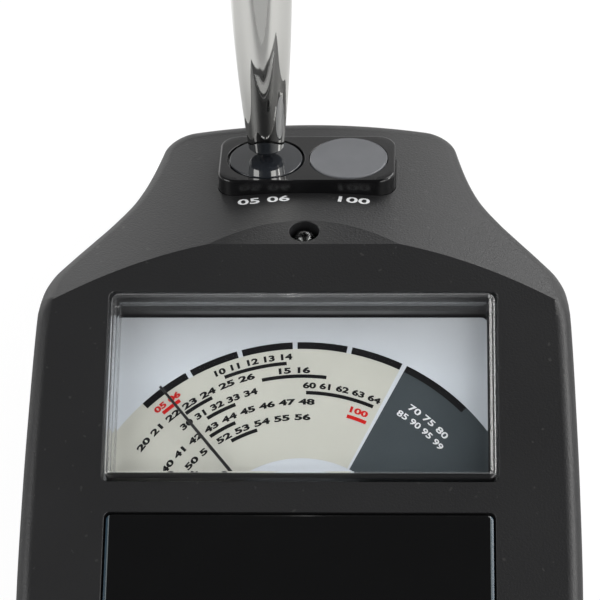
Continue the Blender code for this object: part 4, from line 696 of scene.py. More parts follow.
class Top:
    # Upper surface: the least of a level face, a chamfer and a slope crowned by x squared, lowered by a wall
    def __init__(self, wall):
        self.level = case["height"] - wall
        self.chamfer = case["height"] - wall / math.cos(case["chamfer tilt"])
        self.slope = case["height"] - wall / math.cos(case["slope tilt"])
        self.chamferFall, self.slopeFall = math.tan(case["chamfer tilt"]), math.tan(case["slope tilt"])

    def faces(self, x, y):
        # Heights of the level face, the chamfer and the slope
        chamfer = self.chamfer - self.chamferFall * (y - chamferY)
        slope = self.slope - self.slopeFall * (y - slopeY) - x**2 / (2 * case["slope crown"])
        return np.stack([np.full_like(chamfer, self.level), chamfer, slope])

    def height(self, x, y):
        return self.faces(x, y).min(0)

    def crease(self, x):
        # Y of the line where the slope begins
        drop = x**2 / (2 * case["slope crown"])
        fromLevel = slopeY + (self.slope - self.level - drop) / self.slopeFall
        over = self.slope + self.slopeFall * slopeY - self.chamfer - self.chamferFall * chamferY
        return np.maximum(fromLevel, (over - drop) / (self.slopeFall - self.chamferFall))

    def foldX(self):
        # Half the width of the straight fold between the level face and the chamfer
        foldY = chamferY + (self.chamfer - self.level) / self.chamferFall
        down = self.slope - self.level - self.slopeFall * (foldY - slopeY)
        return math.sqrt(2 * case["slope crown"] * down)


def edgeRadius(y):
    start, end = (share * halfLength for share in case["edge blend"])
    blend = np.clip((y - start) / (end - start), 0.0, 1.0)
    return case["front edge"] + (case["slope edge"] - case["front edge"]) * blend


def bisected(gap, low, high):
    lowSign = gap(low) > 0
    for _ in range(40):
        middle = (low + high) / 2
        low, high = (middle, high) if (gap(middle) > 0) == lowSign else (low, middle)
    return (low + high) / 2


def between(stops, counts):
    # Places between the stops, with a count for each span, and the last stop
    spans = [np.linspace(a, b, count, endpoint=False) for a, b, count in zip(stops, stops[1:], counts)]
    return np.concatenate([*spans, stops[-1:]])


def frontShares(top, inset, roundedEdge):
    # Sample places round the front case, with the indexes of the crease and of the fold's end
    def ringPoint(share):
        edge = outline.at(share, 0.0)
        return outline.at(share, inset + (edgeRadius(edge[1]) if roundedEdge else 0.0))

    def pastCrease(share):
        x, y = ringPoint(share)
        return y - top.crease(x)

    crease = bisected(pastCrease, outline.sideStart, outline.sideEnd)
    fold = bisected(lambda share: ringPoint(share)[0] - top.foldX(), outline.farStart, 1.0)
    stops = (0.0, outline.nearRoundStart, outline.sideStart, crease, outline.sideEnd, outline.farStart, fold, 1.0)
    return between(stops, samples["front"]), sum(samples["front"][:3]), sum(samples["front"][:6])


def topFaces(ring, top, crease, fold, first, start):
    # Over a ring: strips from its far part to the crease, the level face and the chamfer. New points start at `start`
    count = len(ring)
    x = ring[crease:count - crease + 1, 0]
    y = top.crease(x)
    line = np.column_stack([x, y, top.height(x, y)])
    line[0], line[-1] = ring[crease], ring[count - crease]
    near = first + crease + np.arange(len(x) - 1)
    far = start + np.arange(len(x) - 1)
    strips = np.stack([near, near + 1, far + 1, far], -1).tolist()
    mark = lambda i: start + i - crease
    level = [*range(first, first + crease), *map(mark, range(crease, fold + 1))]
    level += [*map(mark, range(count - fold, count - crease + 1)), *range(first + count - crease + 1, first + count)]
    return line, strips + [level, [mark(i) for i in range(fold, count - fold + 1)]]


def draftOut(height):
    return math.tan(case["draft"]) * (case["height"] - height)


def frontForm():
    # The front case's two skins, joined by the stepped rim at the parting plane
    outer, inner = Top(0.0), Top(case["wall"])
    share, crease, fold = frontShares(outer, 0.0, True)
    edge = outline.at(share, 0.0)
    radius = edgeRadius(edge[:, 1])
    inside, edgeHeight = outline.at(share, radius), outer.height(*edge.T)
    start = atHeight(inside, outer.height(*inside.T))
    corner, end = (atHeight(outline.at(share, -draftOut(z)), z) for z in (edgeHeight, edgeHeight - radius))
    rings = [bothSides(points) for points in roundTo(start, corner, end, samples["front edge"])]
    parting, base, lip = case["parting"], draftOut(case["parting"]), case["lip"]
    rim = parting + case["lip height"] + 2 * case["gap"]
    # a small break at the parting edge, so that the line between the shells catches the light
    rings.append(outline.ring(share, -base, parting + case["break"]))
    rings.append(outline.ring(share, case["break"] - base, parting))
    share, innerCrease, innerFold = frontShares(inner, case["wall"], False)
    for inset, height in ((lip - base, parting), (lip - base, rim), (case["wall"] - base, rim)):
        rings.append(outline.ring(share, inset, height))
    plan = outline.at(share, case["wall"])
    rings.append(bothSides(atHeight(plan, inner.height(*plan.T))))
    rings = np.array(rings)
    rows, columns = rings.shape[:2]
    points, faces = rings.reshape(-1, 3), quads(rows, columns)
    line, over = topFaces(rings[0], outer, crease, fold, 0, len(points))
    last = (rows - 1) * columns
    innerLine, under = topFaces(rings[-1], inner, innerCrease, innerFold, last, len(points) + len(line))
    return np.concatenate([points, line, innerLine]), faces + over + under


def backShares():
    stops = (0.0, outline.nearRoundStart, outline.sideStart, outline.sideEnd, outline.farStart, 1.0)
    return between(stops, samples["back"])


def backOut(height):
    return draftOut(case["parting"]) - math.tan(case["back draft"]) * (case["parting"] - height)


def backRings(top):
    share, edge, small = backShares(), case["back edge"], case["break"]
    low, corner, high = (
        atHeight(outline.at(share, inset - backOut(height)), height)
        for inset, height in ((edge, 0.0), (0.0, 0.0), (0.0, edge))
    )
    rings = [bothSides(points) for points in roundTo(low, corner, high, samples["back edge"])]
    ends = ((-backOut(top - small), top - small), (small - backOut(top), top))
    return rings + [outline.ring(share, inset, height) for inset, height in ends]


def backForm(floor):
    gap, lip, wall = case["gap"], case["lip"], case["wall"]
    rim, lipTop = case["parting"] - gap, case["parting"] + case["lip height"]
    out = backOut(rim)
    lipOut, wallOut = (lip + gap - out, rim), (wall + gap - out, lipTop)
    inside = (lipOut, (lipOut[0], lipTop), wallOut, (wall + gap - backOut(floor), floor))
    return lofted(backRings(rim) + [outline.ring(backShares(), inset, height) for inset, height in inside])


# ---- front case. The label, the window and the button get their places and sizes from the frame

window = millimetres({"width": 53.6, "depth": 27.6, "corner": 0.8, "y": 31.0, "rim": 0.22})
label = millimetres({
    "corner": 0.8, "thick": 0.8, "rim": 0.12,
    "bevel": ((0, 0.16), (0.3, 0), (0.6, 0)),  # (inset, depth) from the outside in
})
discs = millimetres({
    "width": 25.4, "depth": 12.7, "corner": 2.8, "rise": 1.96, "seat": 1.2, "y": 17.45,
    "slack": 0.08, "foot": 0.3, "top inset": 1.2,
    # radii of the two discs, the rings that show round them, and their places and heights in the block
    "glass": 5.25, "reference": 5.6, "glass ring": 0.34, "reference ring": 0.1, "spread": 5.95, "disc y": 17.35,
    "thick": 1.0, "reference rise": 0.15, "pocket rim": 0.1,
})
discEdges = {"block": 0.35, "foot": 0.05, "glass": 0.14, "reference": 0.16}  # rounded edges, in mm
lamp = {
    **millimetres({
        "hole": 2.1, "radius": 1.5, "flange": 1.9, "flange thick": 0.7, "flange slope": 0.05, "length": 5.2,
        "setback": 2.7, "rim": 0.14,
        # cup as (radius, depth under the dome), then the die's side, its depths and the legs' places
        "cup": ((0, 1.1), (0.75, 1.1), (0.75, 0.15), (0.45, 0.5), (0, 0.55)),
        "die": 0.34, "die depths": (0.56, 0.4),
        "leg": (0.45, 0.4), "legs": (-0.5, 0.7), "leg end": 0.1, "leg top": 1.05,
    }),
    "tilt": case["chamfer tilt"],
}
button = millimetres({
    "radius": 6.0, "rim": 0.35, "stem": 2, "flange thick": 1, "dish": 0.42,
    # the power sign: radii of its ring, its height, how far it lies under the rim, and its bar
    "ring": (1.55, 1.85), "raised": 0.12, "sunk": 0.43, "bar": (0.3, 1.6), "bar y": 1.5,
})
screw = millimetres({
    "head": 2.4, "shank": 1.2, "length": 9.0, "recess": 0.5, "head height": 1.7, "post": 3.6,
    # its bore in the front case's post: how much shorter than the screw, and how far below the post it begins
    "bore": 5.5, "lead": 0.4,
    "flare": 0.3, "pitch": 0.9, "thread start": 0.8, "point": 0.4, "slot": (3.1, 0.62), "slot corner": 0.15,
    "slot wall": ((-0.05, -0.5), (0, 0), (0.18, 0.9)),  # (inset, depth) from the head inward
})
sockets = millimetres({"face": 73.1, "nose": 2.7, "deep": 12, "slack": 0.6, "corner": 0.5})
screwPlaces = ((-0.80, 0.70), (0.765, 0.52))  # shares of half the length and of the half width
screwSpots = [
    (side * across * case["half width"], along * halfLength) for along, across in screwPlaces for side in (-1, 1)
]
down = lamp["setback"] * math.sin(lamp["tilt"])
lampSpot = (0, chamferY + lamp["setback"] * math.cos(lamp["tilt"]), case["height"] - down)
lampFrame = Matrix.Translation(lampSpot) @ Matrix.Rotation(-lamp["tilt"], 4, "X")


def fitted():
    low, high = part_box("label_panel")
    label.update(width=high.x - low.x, depth=high.y - low.y, y=(high.y + low.y) / 2)
    low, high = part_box("meter_lens")
    window.update(bottom=low.z, top=high.z)
    low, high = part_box("power_button")
    button.update(y=(high.y + low.y) / 2, top=high.z, bottom=low.z, flange=(high.x - low.x) / 2)


def socketCuts():
    # Holes in the far wall for the jack's round nose and the port's mouth
    def facing(name, form):
        low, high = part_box(name)
        middle = (low + high) / 2
        return moved(form, Matrix.Translation((middle.x, sockets["face"], middle.z)) @ lyingDown)

    low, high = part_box("power_port")
    size, slack = high - low, sockets["slack"]
    mouth = slab(panel(size.x + slack, size.z + slack, sockets["corner"], 4), [(0, 0), (0, sockets["deep"])])
    return facing("probe_jack", peg(sockets["nose"], 0, sockets["deep"], 64)), facing("power_port", mouth)


def ceilingPost(x, y, start):
    # A round post whose top end follows the inside of the case's top, and bites into it
    ring = disc(screw["post"], 40, x, y)()
    return lofted([atHeight(ring, start), atHeight(ring, Top(case["wall"]).height(*ring.T) + bite)])


def evenTop(piece, close=4e-6, turn=32):
    # Gives each corner that lies close to one of the top's faces the true normal there, as the strips over it are
    # long and thin. Corners of faces that turn away from it by more than the angle keep their own
    mesh, top = piece.data, Top(0.0)
    read = lambda items, key, size: np.array([getattr(item, key) for item in items]).reshape(-1, size)
    points, corners = read(mesh.vertices, "co", 3), read(mesh.loops, "vertex_index", 1)[:, 0]
    faces = np.repeat(read(mesh.polygons, "normal", 3), read(mesh.polygons, "loop_total", 1)[:, 0], axis=0)
    x, y, z = points[corners].T
    one, zero = np.ones_like(x), np.zeros_like(x)
    slopes = (zero, zero), (zero, top.chamferFall * one), (x / case["slope crown"], top.slopeFall * one)
    ways = np.stack([np.stack([across, along, one], -1) for across, along in slopes])
    ways /= np.linalg.norm(ways, axis=-1, keepdims=True)
    likeness = np.where(np.abs(top.faces(x, y) - z) < close, (ways * faces).sum(-1), -1)
    chosen = ways[likeness.argmax(0), np.arange(len(x))]
    smooth = np.array([tuple(corner.vector) for corner in mesh.corner_normals])
    lies = likeness.max(0) > math.cos(math.radians(turn))
    mesh.normals_split_custom_set(np.where(lies[:, None], chosen, smooth).tolist())


def frontCase():
    shell = addForm("front_case", frontForm())
    start = case["parting"] + case["lip height"] + case["gap"]
    carve(shell, *[ceilingPost(x, y, start) for x, y in screwSpots], operation="UNION")
    height, wall, gap, slack = case["height"], case["wall"], case["gap"], discs["slack"]
    ceiling = height - wall - past
    windowEdge = panel(window["width"], window["depth"], window["corner"], y=window["y"])
    labelEdge = panel(label["width"] + 2 * gap, label["depth"] + 2 * gap, label["corner"], y=label["y"])
    seat = panel(discs["width"] + 2 * slack, discs["depth"] + 2 * slack, discs["corner"] + slack, y=discs["y"])
    bore = peg(screw["shank"] + gap, 0, screw["lead"] + screw["length"] - screw["bore"], 32)
    carve(
        shell,
        flaredHole(windowEdge, ceiling, height, window["rim"]),
        flaredHole(labelEdge, height - label["thick"] - gap, height, label["rim"]),
        moved(flaredHole(disc(lamp["hole"]), -wall - past, 0.0, lamp["rim"], past), lampFrame),
        moved(slab(seat, [(0, -discs["seat"]), (0, discs["rise"])]), slopeFrame),
        flaredHole(disc(button["radius"] + gap, 96, 0, button["y"]), ceiling, height, button["rim"]),
        *[moved(bore, Matrix.Translation((x, y, start - screw["lead"]))) for x, y in screwSpots],
    )
    carve(shell, *socketCuts())
    finishPiece(shell, "case_plastic", "front_shell", sharp=26, weighted=False)
    evenTop(shell)
    print("front case:", len(shell.data.polygons), "faces")


fitted()
frontCase()


# ---- back case, its battery tub and the sliding door

tub = millimetres({"side": 2.3, "top": 1.5, "post": 2.2, "land": 1.5})
door = {
    **millimetres({
        "thick": 1.8, "tongue": 1.2, "tongue thick": 0.9, "overhang": 4,
        "groove": 0.9, "span": 18, "flare": 0.25,
        "arrow": (9.0, 3.2, 0.35), "arrow tip": 22,  # length, half width and depth, and its place from the near end
    }),
    "grooves": 5, "arrow stem": 0.42,
}


def doorSection(slack, half):
    # Cross-section of the door with a tongue along each side, as (x, z)
    tongue, top = half + door["tongue"], case["gap"] + door["thick"]
    low = top - door["tongue thick"] - slack
    bottom = case["gap"] if slack == 0 else -past
    right = [(half, bottom), (half, low), (tongue, low), (tongue, top + slack)]
    return np.array(right + [(-x, z) for x, z in reversed(right)])


def alongY(section, near, far):
    # An (x, z) section carried along Y
    return lofted([np.column_stack([section[:, 0], np.full(len(section), y), section[:, 1]]) for y in (near, far)])


def backCase():
    gap, wall, floor = case["gap"], case["wall"], case["gap"] + door["thick"] + case["gap"]
    first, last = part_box("battery_1"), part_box("battery_3")
    half = last[1].x + 2 * gap
    near = -halfLength + case["length"] * case["near crown"] + wall
    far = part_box("contact_plate_1")[1].y + 2 * gap
    ceiling = first[1].z + gap
    shell = addForm("back_case", backForm(floor))
    shape = (2 * (half + tub["side"]), far + wall - near + 2 * bite, floor - bite, ceiling + tub["top"])
    carve(shell, box(*shape, 0, (far + wall + near) / 2), operation="UNION")
    carve(shell, box(2 * half, far - near, -past, ceiling, 0, (far + near) / 2))
    carve(shell, alongY(doorSection(gap, half), -halfLength - door["overhang"], far + tub["land"] + gap))
    middle, reach = (first[0].y + first[1].y) / 2, (first[1].y - first[0].y) / 2 - tub["post"]
    board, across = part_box("circuit_board")[0].z - gap, half - tub["post"]
    posts = [
        peg(tub["post"], ceiling, board, 40, x * across, middle + y * reach) for x in (-1, 1) for y in (-1, 1)
    ]
    lipTop = case["parting"] + case["lip height"]
    posts += [peg(screw["post"], floor - bite, lipTop, 48, x, y) for x, y in screwSpots]
    carve(shell, *posts, operation="UNION")
    seat, deep = screw["recess"] + screw["head height"] + gap, 6 * past
    head, shank, flare = screw["head"] + gap, screw["shank"] + gap, screw["flare"]
    bore = turned([
        (0, -past), (head + 5 * flare, -past), (head + flare, 0), (head, flare * 1.2), (head, seat),
        (shank, seat), (shank, deep), (0, deep),
    ], 56)
    carve(shell, *[moved(bore, Matrix.Translation((x, y, 0))) for x, y in screwSpots])
    carve(shell, *socketCuts())
    finishPiece(shell, "case_plastic", "back_shell", sharp=28)
    print("back case:", len(shell.data.polygons), "faces")
    return half, near, far


def batteryDoor(half, near, far):
    section = doorSection(0.0, half - case["gap"])
    flap = addForm("sliding_door", alongY(section, -halfLength - door["overhang"], far + tub["land"]))
    carve(flap, lofted(backRings(case["parting"] - case["gap"])), operation="INTERSECT")
    bottom, wide, flare = case["gap"], door["groove"], door["flare"]
    profile = [(-flare * 2, bottom - flare * 2), (0, bottom + flare * 0.4), (0, bottom + wide / 2)]
    grooves = [near + (2 * number + 2) * 2 * wide for number in range(door["grooves"])]
    cuts = [slab(panel(door["span"], wide, wide / 2, 6, y=y), profile) for y in grooves]
    # A moulded arrow that shows which way the door slides
    length, width, deep = door["arrow"]
    stem = width * door["arrow stem"]
    arrow = [(0, 0), (width, width), (stem, width), (stem, length), (-stem, length), (-stem, width), (-width, width)]
    arrow = np.array(arrow) + (0, near + door["arrow tip"])
    cuts.append(lofted([atHeight(arrow, z) for z in (bottom - mm, bottom + deep)]))
    carve(flap, *cuts)
    finishPiece(flap, "case_plastic", "battery_door", "door", sharp=28)


batteryDoor(*backCase())
print("back case and door done")


# ---- screws, with a crossed recess and a turned thread

def caseScrews(turns=6):
    head, shank, low = screw["head"], screw["shank"], screw["recess"]
    top, end = low + screw["head height"], low + screw["length"]
    start, pitch = top + screw["thread start"], screw["pitch"]
    thread = [(shank * (0.86 if k % 2 else 1.0), start + k * pitch / 2) for k in range(2 * turns)]
    point = [(shank * 0.6, end - screw["point"]), (0, end)]
    corners = [(0, low), (head, low), (head, top), (shank, top), *thread, *point]
    body = softened(corners, [0, 0.35, 0.15, 0.1, *[0.08] * len(thread), 0, 0], 4)
    length, width = screw["slot"]
    slots = panel(length, width, screw["slot corner"], 3), panel(width, length, screw["slot corner"], 3)
    deep = [(inset, low + depth) for inset, depth in screw["slot wall"]]
    for number, (x, y) in enumerate(screwSpots, 1):
        spot = Matrix.Translation((x, y, 0)) @ Matrix.Rotation(0.35 + 0.8 * number, 4, "Z")
        piece = addForm(f"cross_screw_{number}", moved(turned(body, 48), spot))
        for slot in slots:
            carve(piece, moved(slab(slot, deep), spot))
        finishPiece(piece, "bright_steel", f"case_screw_{number}", sharp=30)


caseScrews()


# ---- bare label plate, with a bevelled rim

def labelPlate():
    edge = panel(label["width"], label["depth"], label["corner"], y=label["y"])
    bevel = [(inset, case["height"] - depth) for inset, depth in label["bevel"]]
    profile = softened([(0, case["height"] - label["thick"]), *bevel], [0, 0.06, 0.1, 0], 3)
    addPiece("label_plate", slab(edge, profile), "label", "label_panel")


labelPlate()


# ---- meter: lens, dial with its print, needle

lens = {
    **millimetres({
        "slack": 0.35, "plate": 1.5, "skirt": 1.08, "flange": 1.5, "corner": 1.0, "top inset": 2,
        # the rim's two bevels and the step between them, as (inset, depth) from the outside in
        "bevels": ((0, 0.62), (0.18, 0.51), (0.42, 0.21), (0.79, 0)),
    }),
    "gate": 0.634,  # share of its width
    "rounds": (0.1, 0.1, 0.1, 0.1, 0.15, 0.04, 0.04, 0.04, 0.08, 0),  # in mm
}
dial = {
    **millimetres({
        # the print sits a little nearer than the needle's pivot, so that it looks right through the lens
        "pivot": 7.82, "print y": 7.62, "card": (58.4, 36.9, 28.15), "top": 26.6, "thick": 0.6, "corner": 0.8,
        "bevel": 0.05, "notch": 8.6, "screw hole": 1.1, "print": 0.02, "hub": 14.2, "band": (30.2, 31.2),
        "bar": 0.52, "frame": (-25.95, 25.42, 19.3, 42.5, 0.75), "frame slack": 0.2,
    }),
    "spread": 69.0, "divider": (26.25, 27.45),
    # band segments, then bars as (radius in mm, from, to), in degrees right of the middle
    "segments": ((-44.9, -31.4), (-30.1, -17.15), (-15.9, -2.7), (-1.45, 11.46), (12.7, 26.2), (27.5, 46.3)),
    "bars": (
        (28.13, -22.55, -4.55), (26.17, -12.4, 7.2), (23.75, 1.2, 24.2), (26.13, -37.8, -28.4),
        (23.83, -33.15, -22.7), (21.38, -36.0, -25.3), (19.25, -30.05, -18.55),
    ),
    "red bars": ((21.23, 16.8, 24.4), (28.19, -42.8, -36.75)),
    # plain numbers as (text, radius in mm of their middle, from, to), and their cap height in mm
    "numbers": (
        ("10 11 12 13 14", 29.1, -24.7, -2.9), ("15 16", 27.06, -7.05, 2.2), ("60 61 62 63 64", 24.83, 0.1, 25.6),
        ("20 21 22 23 24 25 26", 27.04, -55.75, -14.2), ("30 31 32 33 34", 24.8, -41.9, -14.5),
        ("40 41 42 43 44 45 46 47 48", 22.42, -57.6, 4.4), ("50 51 52 53 54 55 56", 20.17, -51.2, 3.4),
    ),
    "red numbers": (("05 06", 29.12, -44.1, -35.6), ("100", 22.33, 17.15, 23.8)),
    "white numbers": (("70 75 80", 26.25, 34.1, 49.1), ("85 90 95 99", 24.7, 32.1, 50.8)),
    "cap": 0.92,
}


def meterCover():
    # Plate with a rounded rim, its skirt and the flange that holds it in, with a gate in the skirt for the needle
    width, depth = window["width"] - 2 * lens["slack"], window["depth"] - 2 * lens["slack"]
    top, bottom, skirt, flange = window["top"], window["bottom"], lens["skirt"], lens["flange"]
    ceiling, plate = case["height"] - case["wall"], top - lens["plate"]
    under = ceiling - case["gap"]
    rim = [(inset, top - drop) for inset, drop in lens["bevels"]]
    corners = [(skirt, plate), (skirt, bottom), (-flange, bottom), (-flange, under), (0, under), *rim]
    profile = softened(corners + [(lens["top inset"], top)], lens["rounds"], 4)
    profile = np.concatenate([[(lens["top inset"], plate)], profile])
    cover = addForm("meter_cover", slab(panel(width, depth, lens["corner"], 10, y=window["y"]), profile))
    wall = window["y"] - depth / 2
    near, far = wall - flange - past, wall + skirt + bite
    carve(cover, box(width * lens["gate"], far - near, bottom - past, ceiling, 0, (near + far) / 2))
    finishPiece(cover, "clear_acrylic", "meter_lens", sharp=34)


def polarPatch(inner, outer, start, end, low, high, steps=48):
    # A flat patch of a ring about the pivot: radius and angle on a grid, with a top, a bottom and walls
    radius = np.linspace(inner, outer, 2 if outer - inner < 2 * mm else 12)[:, None]
    angle = np.radians(start + (end - start) * np.linspace(0, 1, steps))
    x, y = radius * np.sin(angle), dial["print y"] + radius * np.cos(angle)
    flat = lambda z: np.stack([x, y, np.full_like(x, z)], -1).reshape(-1, 3)
    rows, columns = x.shape
    count = rows * columns
    a = np.arange(count).reshape(rows, columns)
    loop = np.concatenate([a[0, :-1], a[:-1, -1], a[-1, :0:-1], a[:0:-1, 0]])
    ahead = np.roll(loop, -1)
    walls = np.stack([loop, ahead, ahead + count, loop + count], -1).tolist()
    faces = quads(rows, columns, False) + quads(rows, columns, False, count) + walls
    return np.concatenate([flat(low), flat(high)]), faces


def wordForm(text, bold):
    # A line of numbers as a thin closed form, 1 unit to the em
    curve = bpy.data.curves.new("numbers", "FONT")
    curve.body, curve.extrude, curve.offset, curve.resolution_u = text, 0.05, bold, 3
    words = addObject("numbers", curve)
    bpy.context.view_layer.update()
    mesh = bpy.data.meshes.new_from_object(words.evaluated_get(bpy.context.evaluated_depsgraph_get()))
    points = np.zeros(len(mesh.vertices) * 3)
    mesh.vertices.foreach_get("co", points)
    faces = [list(face.vertices) for face in mesh.polygons]
    bpy.data.objects.remove(words, do_unlink=True)
    return points.reshape(-1, 3), faces


def numberForm(text, radius, start, end, low, high, bold=0.045):
    # Numbers bent along an arc: across becomes the angle, and up becomes the radius
    points, faces = wordForm(text, bold)
    left, right = points[:, 0].min(), points[:, 0].max()
    bottom, top = points[:, 1].min(), points[:, 1].max()
    angle = np.radians(start + (end - start) * (points[:, 0] - left) / (right - left))
    out = (radius + dial["cap"] * ((points[:, 1] - bottom) / (top - bottom) - 0.5)) * mm
    level = np.where(points[:, 2] > 0, high, low)
    return np.column_stack([out * np.sin(angle), dial["print y"] + out * np.cos(angle), level]), faces


def dialCard():
    width, depth, y = dial["card"]
    top, bottom, bevel = dial["top"], dial["top"] - dial["thick"], dial["bevel"]
    profile = [(0, bottom), (0, top - bevel), (bevel, top)]
    card = addForm("dial_card", slab(panel(width, depth, dial["corner"], 5, y=y), profile))
    holes = [peg(dial["notch"], bottom - mm, top + mm, 96, 0, dial["pivot"])]
    for name in ("dial_screw_left", "dial_screw_right"):
        spot = (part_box(name)[0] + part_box(name)[1]) / 2
        holes.append(peg(dial["screw hole"], bottom - mm, top + mm, 32, spot.x, spot.y))
    carve(card, *holes)
    finishPiece(card, "dial_card", "dial_plate", sharp=30)


def dialPrint():
    # Each ink is one thin piece on the card: fields first, then marks and numbers just above them
    base, thin, half = dial["top"], dial["print"], dial["bar"] / 2
    spread, inner, (bandIn, bandOut) = dial["spread"], dial["hub"], dial["band"]
    beforeLine, afterLine = dial["divider"]
    fields, marks = (base - thin, base + thin), (base + thin * 0.5, base + 2 * thin)
    bars = lambda key: [polarPatch(r * mm - half, r * mm + half, a, b, *marks) for r, a, b in dial[key]]
    numbers = lambda key, *bold: [numberForm(*row, *marks, *bold) for row in dial[key]]
    inks = {
        "cream": [
            polarPatch(inner, bandIn, -spread, beforeLine, *fields, 160),
            polarPatch(bandIn - thin, bandOut, -spread, dial["segments"][0][0], *fields),
        ],
        "slate": [polarPatch(inner, bandOut, afterLine, spread, *fields, 80)],
        "black": [polarPatch(bandIn, bandOut, a, b, *marks) for a, b in dial["segments"]]
        + bars("bars") + numbers("numbers"),
        "red": bars("red bars") + numbers("red numbers"),
        "white": numbers("white numbers", 0.02),
    }
    for name, forms in inks.items():
        addPiece(f"dial_print_{name}", joined(*forms), f"{name} ink")


def dialFrame():
    # Black border round the card's visible part, with rounded inner corners. Its finish paints light on parts of its
    # left, near and far sides
    left, right, near, far, corner = dial["frame"]
    width, depth, y = dial["card"]
    low, high = dial["top"] - dial["print"], dial["top"] + 4 * dial["print"]
    inner = panel(right - left, far - near, corner, 8, (left + right) / 2, (near + far) / 2)()
    slack = dial["frame slack"]
    outer = panel(width - slack, depth - slack, corner, 8, 0, y)()
    section = (inner, low), (outer, low), (outer, high), (inner, high)
    addPiece("dial_frame", ringed([atHeight(*part) for part in section]), "border")


needleShape = {
    **millimetres({
        "length": 31.0, "hub": 1.5, "bore": 0.7, "hub height": 0.5, "low": 24.8, "high": 27.55, "thick": 0.3,
        "start": 1.1, "crank": (5.8, 7.8), "near crank": 0.6, "width": 0.5, "tip": 0.36, "edge": 0.07,
        "tail": (1.5, 3.9, 0.4), "tail y": -3.25, "tail edge": 0.06,
    }),
    "angle": 39.2,
}


def pointer():
    # Flat bar along its own Y: half width and height are functions of the distance from the hub
    n = needleShape
    turn = Matrix.Translation((0, dial["pivot"], 0)) @ Matrix.Rotation(math.radians(n["angle"]), 4, "Z")
    (bend, bent), low, thick, edge, small = n["crank"], n["low"], n["thick"], n["edge"], n["tail edge"]
    spans = (n["start"], bend - n["near crank"], 6), (bend, bent, 12), (bent + n["near crank"], n["length"], 24)
    y = np.concatenate([np.linspace(*span) for span in spans])
    step = np.clip((y - bend) / (bent - bend), 0, 1)
    lift = low + (n["high"] - low) * step * step * (3 - 2 * step)
    half = (n["width"] + (n["tip"] - n["width"]) * np.clip((y - bent) / (n["length"] - bent), 0, 1)) / 2
    # cross-section as (share of the half width, edges, height)
    section = np.array([
        (-1, 0, edge), (-1, 0, thick - edge), (-1, 1, thick), (1, -1, thick),
        (1, 0, thick - edge), (1, 0, edge), (1, -1, 0), (-1, 1, 0),
    ])
    x = section[None, :, 0] * half[:, None] + section[None, :, 1] * edge
    arm = lofted(np.stack([x, np.broadcast_to(y[:, None], x.shape), lift[:, None] + section[None, :, 2]], -1))
    profile = [(small, low), (0, low + small), (0, low + thick - small), (small, low + thick)]
    tail = slab(panel(*n["tail"], 5, y=n["tail y"]), profile)
    bore, out, top = n["bore"], n["hub"], low + n["hub height"]
    hub = turned(softened([(bore, low), (out, low), (out, top), (bore, top)], 0.1, 3, True), 48)
    piece = addForm("pointer", moved(hub, turn))
    carve(piece, moved(arm, turn), operation="UNION")
    carve(piece, moved(tail, turn), operation="UNION")
    finishPiece(piece, "black_plastic", "needle", "needle", sharp=30)


meterCover()
dialCard()
dialPrint()
dialFrame()
pointer()
print("meter done")


# ---- disc block, discs and the numbers in front of them

def testDiscs():
    top, edges = discs["rise"], discEdges
    corners = [(0, discs["foot"] - discs["seat"]), (0, top), (discs["top inset"], top)]
    profile = softened(corners, [0, edges["block"], 0], 7)
    shape = panel(discs["width"], discs["depth"], discs["corner"], 14, y=discs["y"])
    block = addForm("gloss_block", moved(slab(shape, profile), slopeFrame))
    floor = top - discs["thick"] - case["gap"]
    foot = floor + case["gap"]
    places = [slopeFrame @ Matrix.Translation((side * discs["spread"], discs["disc y"], 0)) for side in (-1, 1)]
    kinds = ("glass", "dark_glass", top), ("reference", "grey_disc", top + discs["reference rise"])
    carve(block, *[
        moved(flaredHole(disc(discs[name] + discs[f"{name} ring"], 128), floor, top, discs["pocket rim"], mm), place)
        for (name, _, _), place in zip(kinds, places)
    ])
    finishPiece(block, "gloss_black", "disc_block", sharp=30)
    for (name, look, high), place in zip(kinds, places):
        radius = discs[name]
        corners = [(0, foot), (radius, foot), (radius, high), (0, high)]
        form = turned(softened(corners, [0, edges["foot"], edges[name], 0], 5), 160)
        addPiece(f"round_{name}", moved(form, place), look, f"{name}_disc")


# text, its middle across and along the slope, its height and width, all in mm, and its turn in degrees
discNumbers = (("05 06", -6.02, 9.3, 1.5, 7.4, 6.5), ("100", 6.85, 9.25, 1.5, 4.5, -7.0))


def slopeNumbers():
    # Plain numbers printed on the slope: turned by their tilt, then dropped onto the crowned surface
    surface, forms = Top(0.0), []
    for text, x, along, tall, wide, tilt in discNumbers:
        points, faces = wordForm(text, 0.02)
        low, high = points[:, :2].min(0), points[:, :2].max(0)
        flat = ((points[:, :2] - low) / (high - low) - 0.5) * (wide, tall) * mm
        cosine, sine = math.cos(math.radians(tilt)), math.sin(math.radians(tilt))
        across = x * mm + flat[:, 0] * cosine - flat[:, 1] * sine
        up = along * mm + flat[:, 0] * sine + flat[:, 1] * cosine
        y = slopeY + up * math.cos(case["slope tilt"])
        z = surface.height(across, y) + np.where(points[:, 2] > 0, 0.03, -0.03) * mm
        forms.append((np.column_stack([across, y, z]), faces))
    addPiece("disc_numbers", joined(*forms), "white ink")


testDiscs()
slopeNumbers()


# ---- lamp: a clear dome with its cup, die and two legs inside

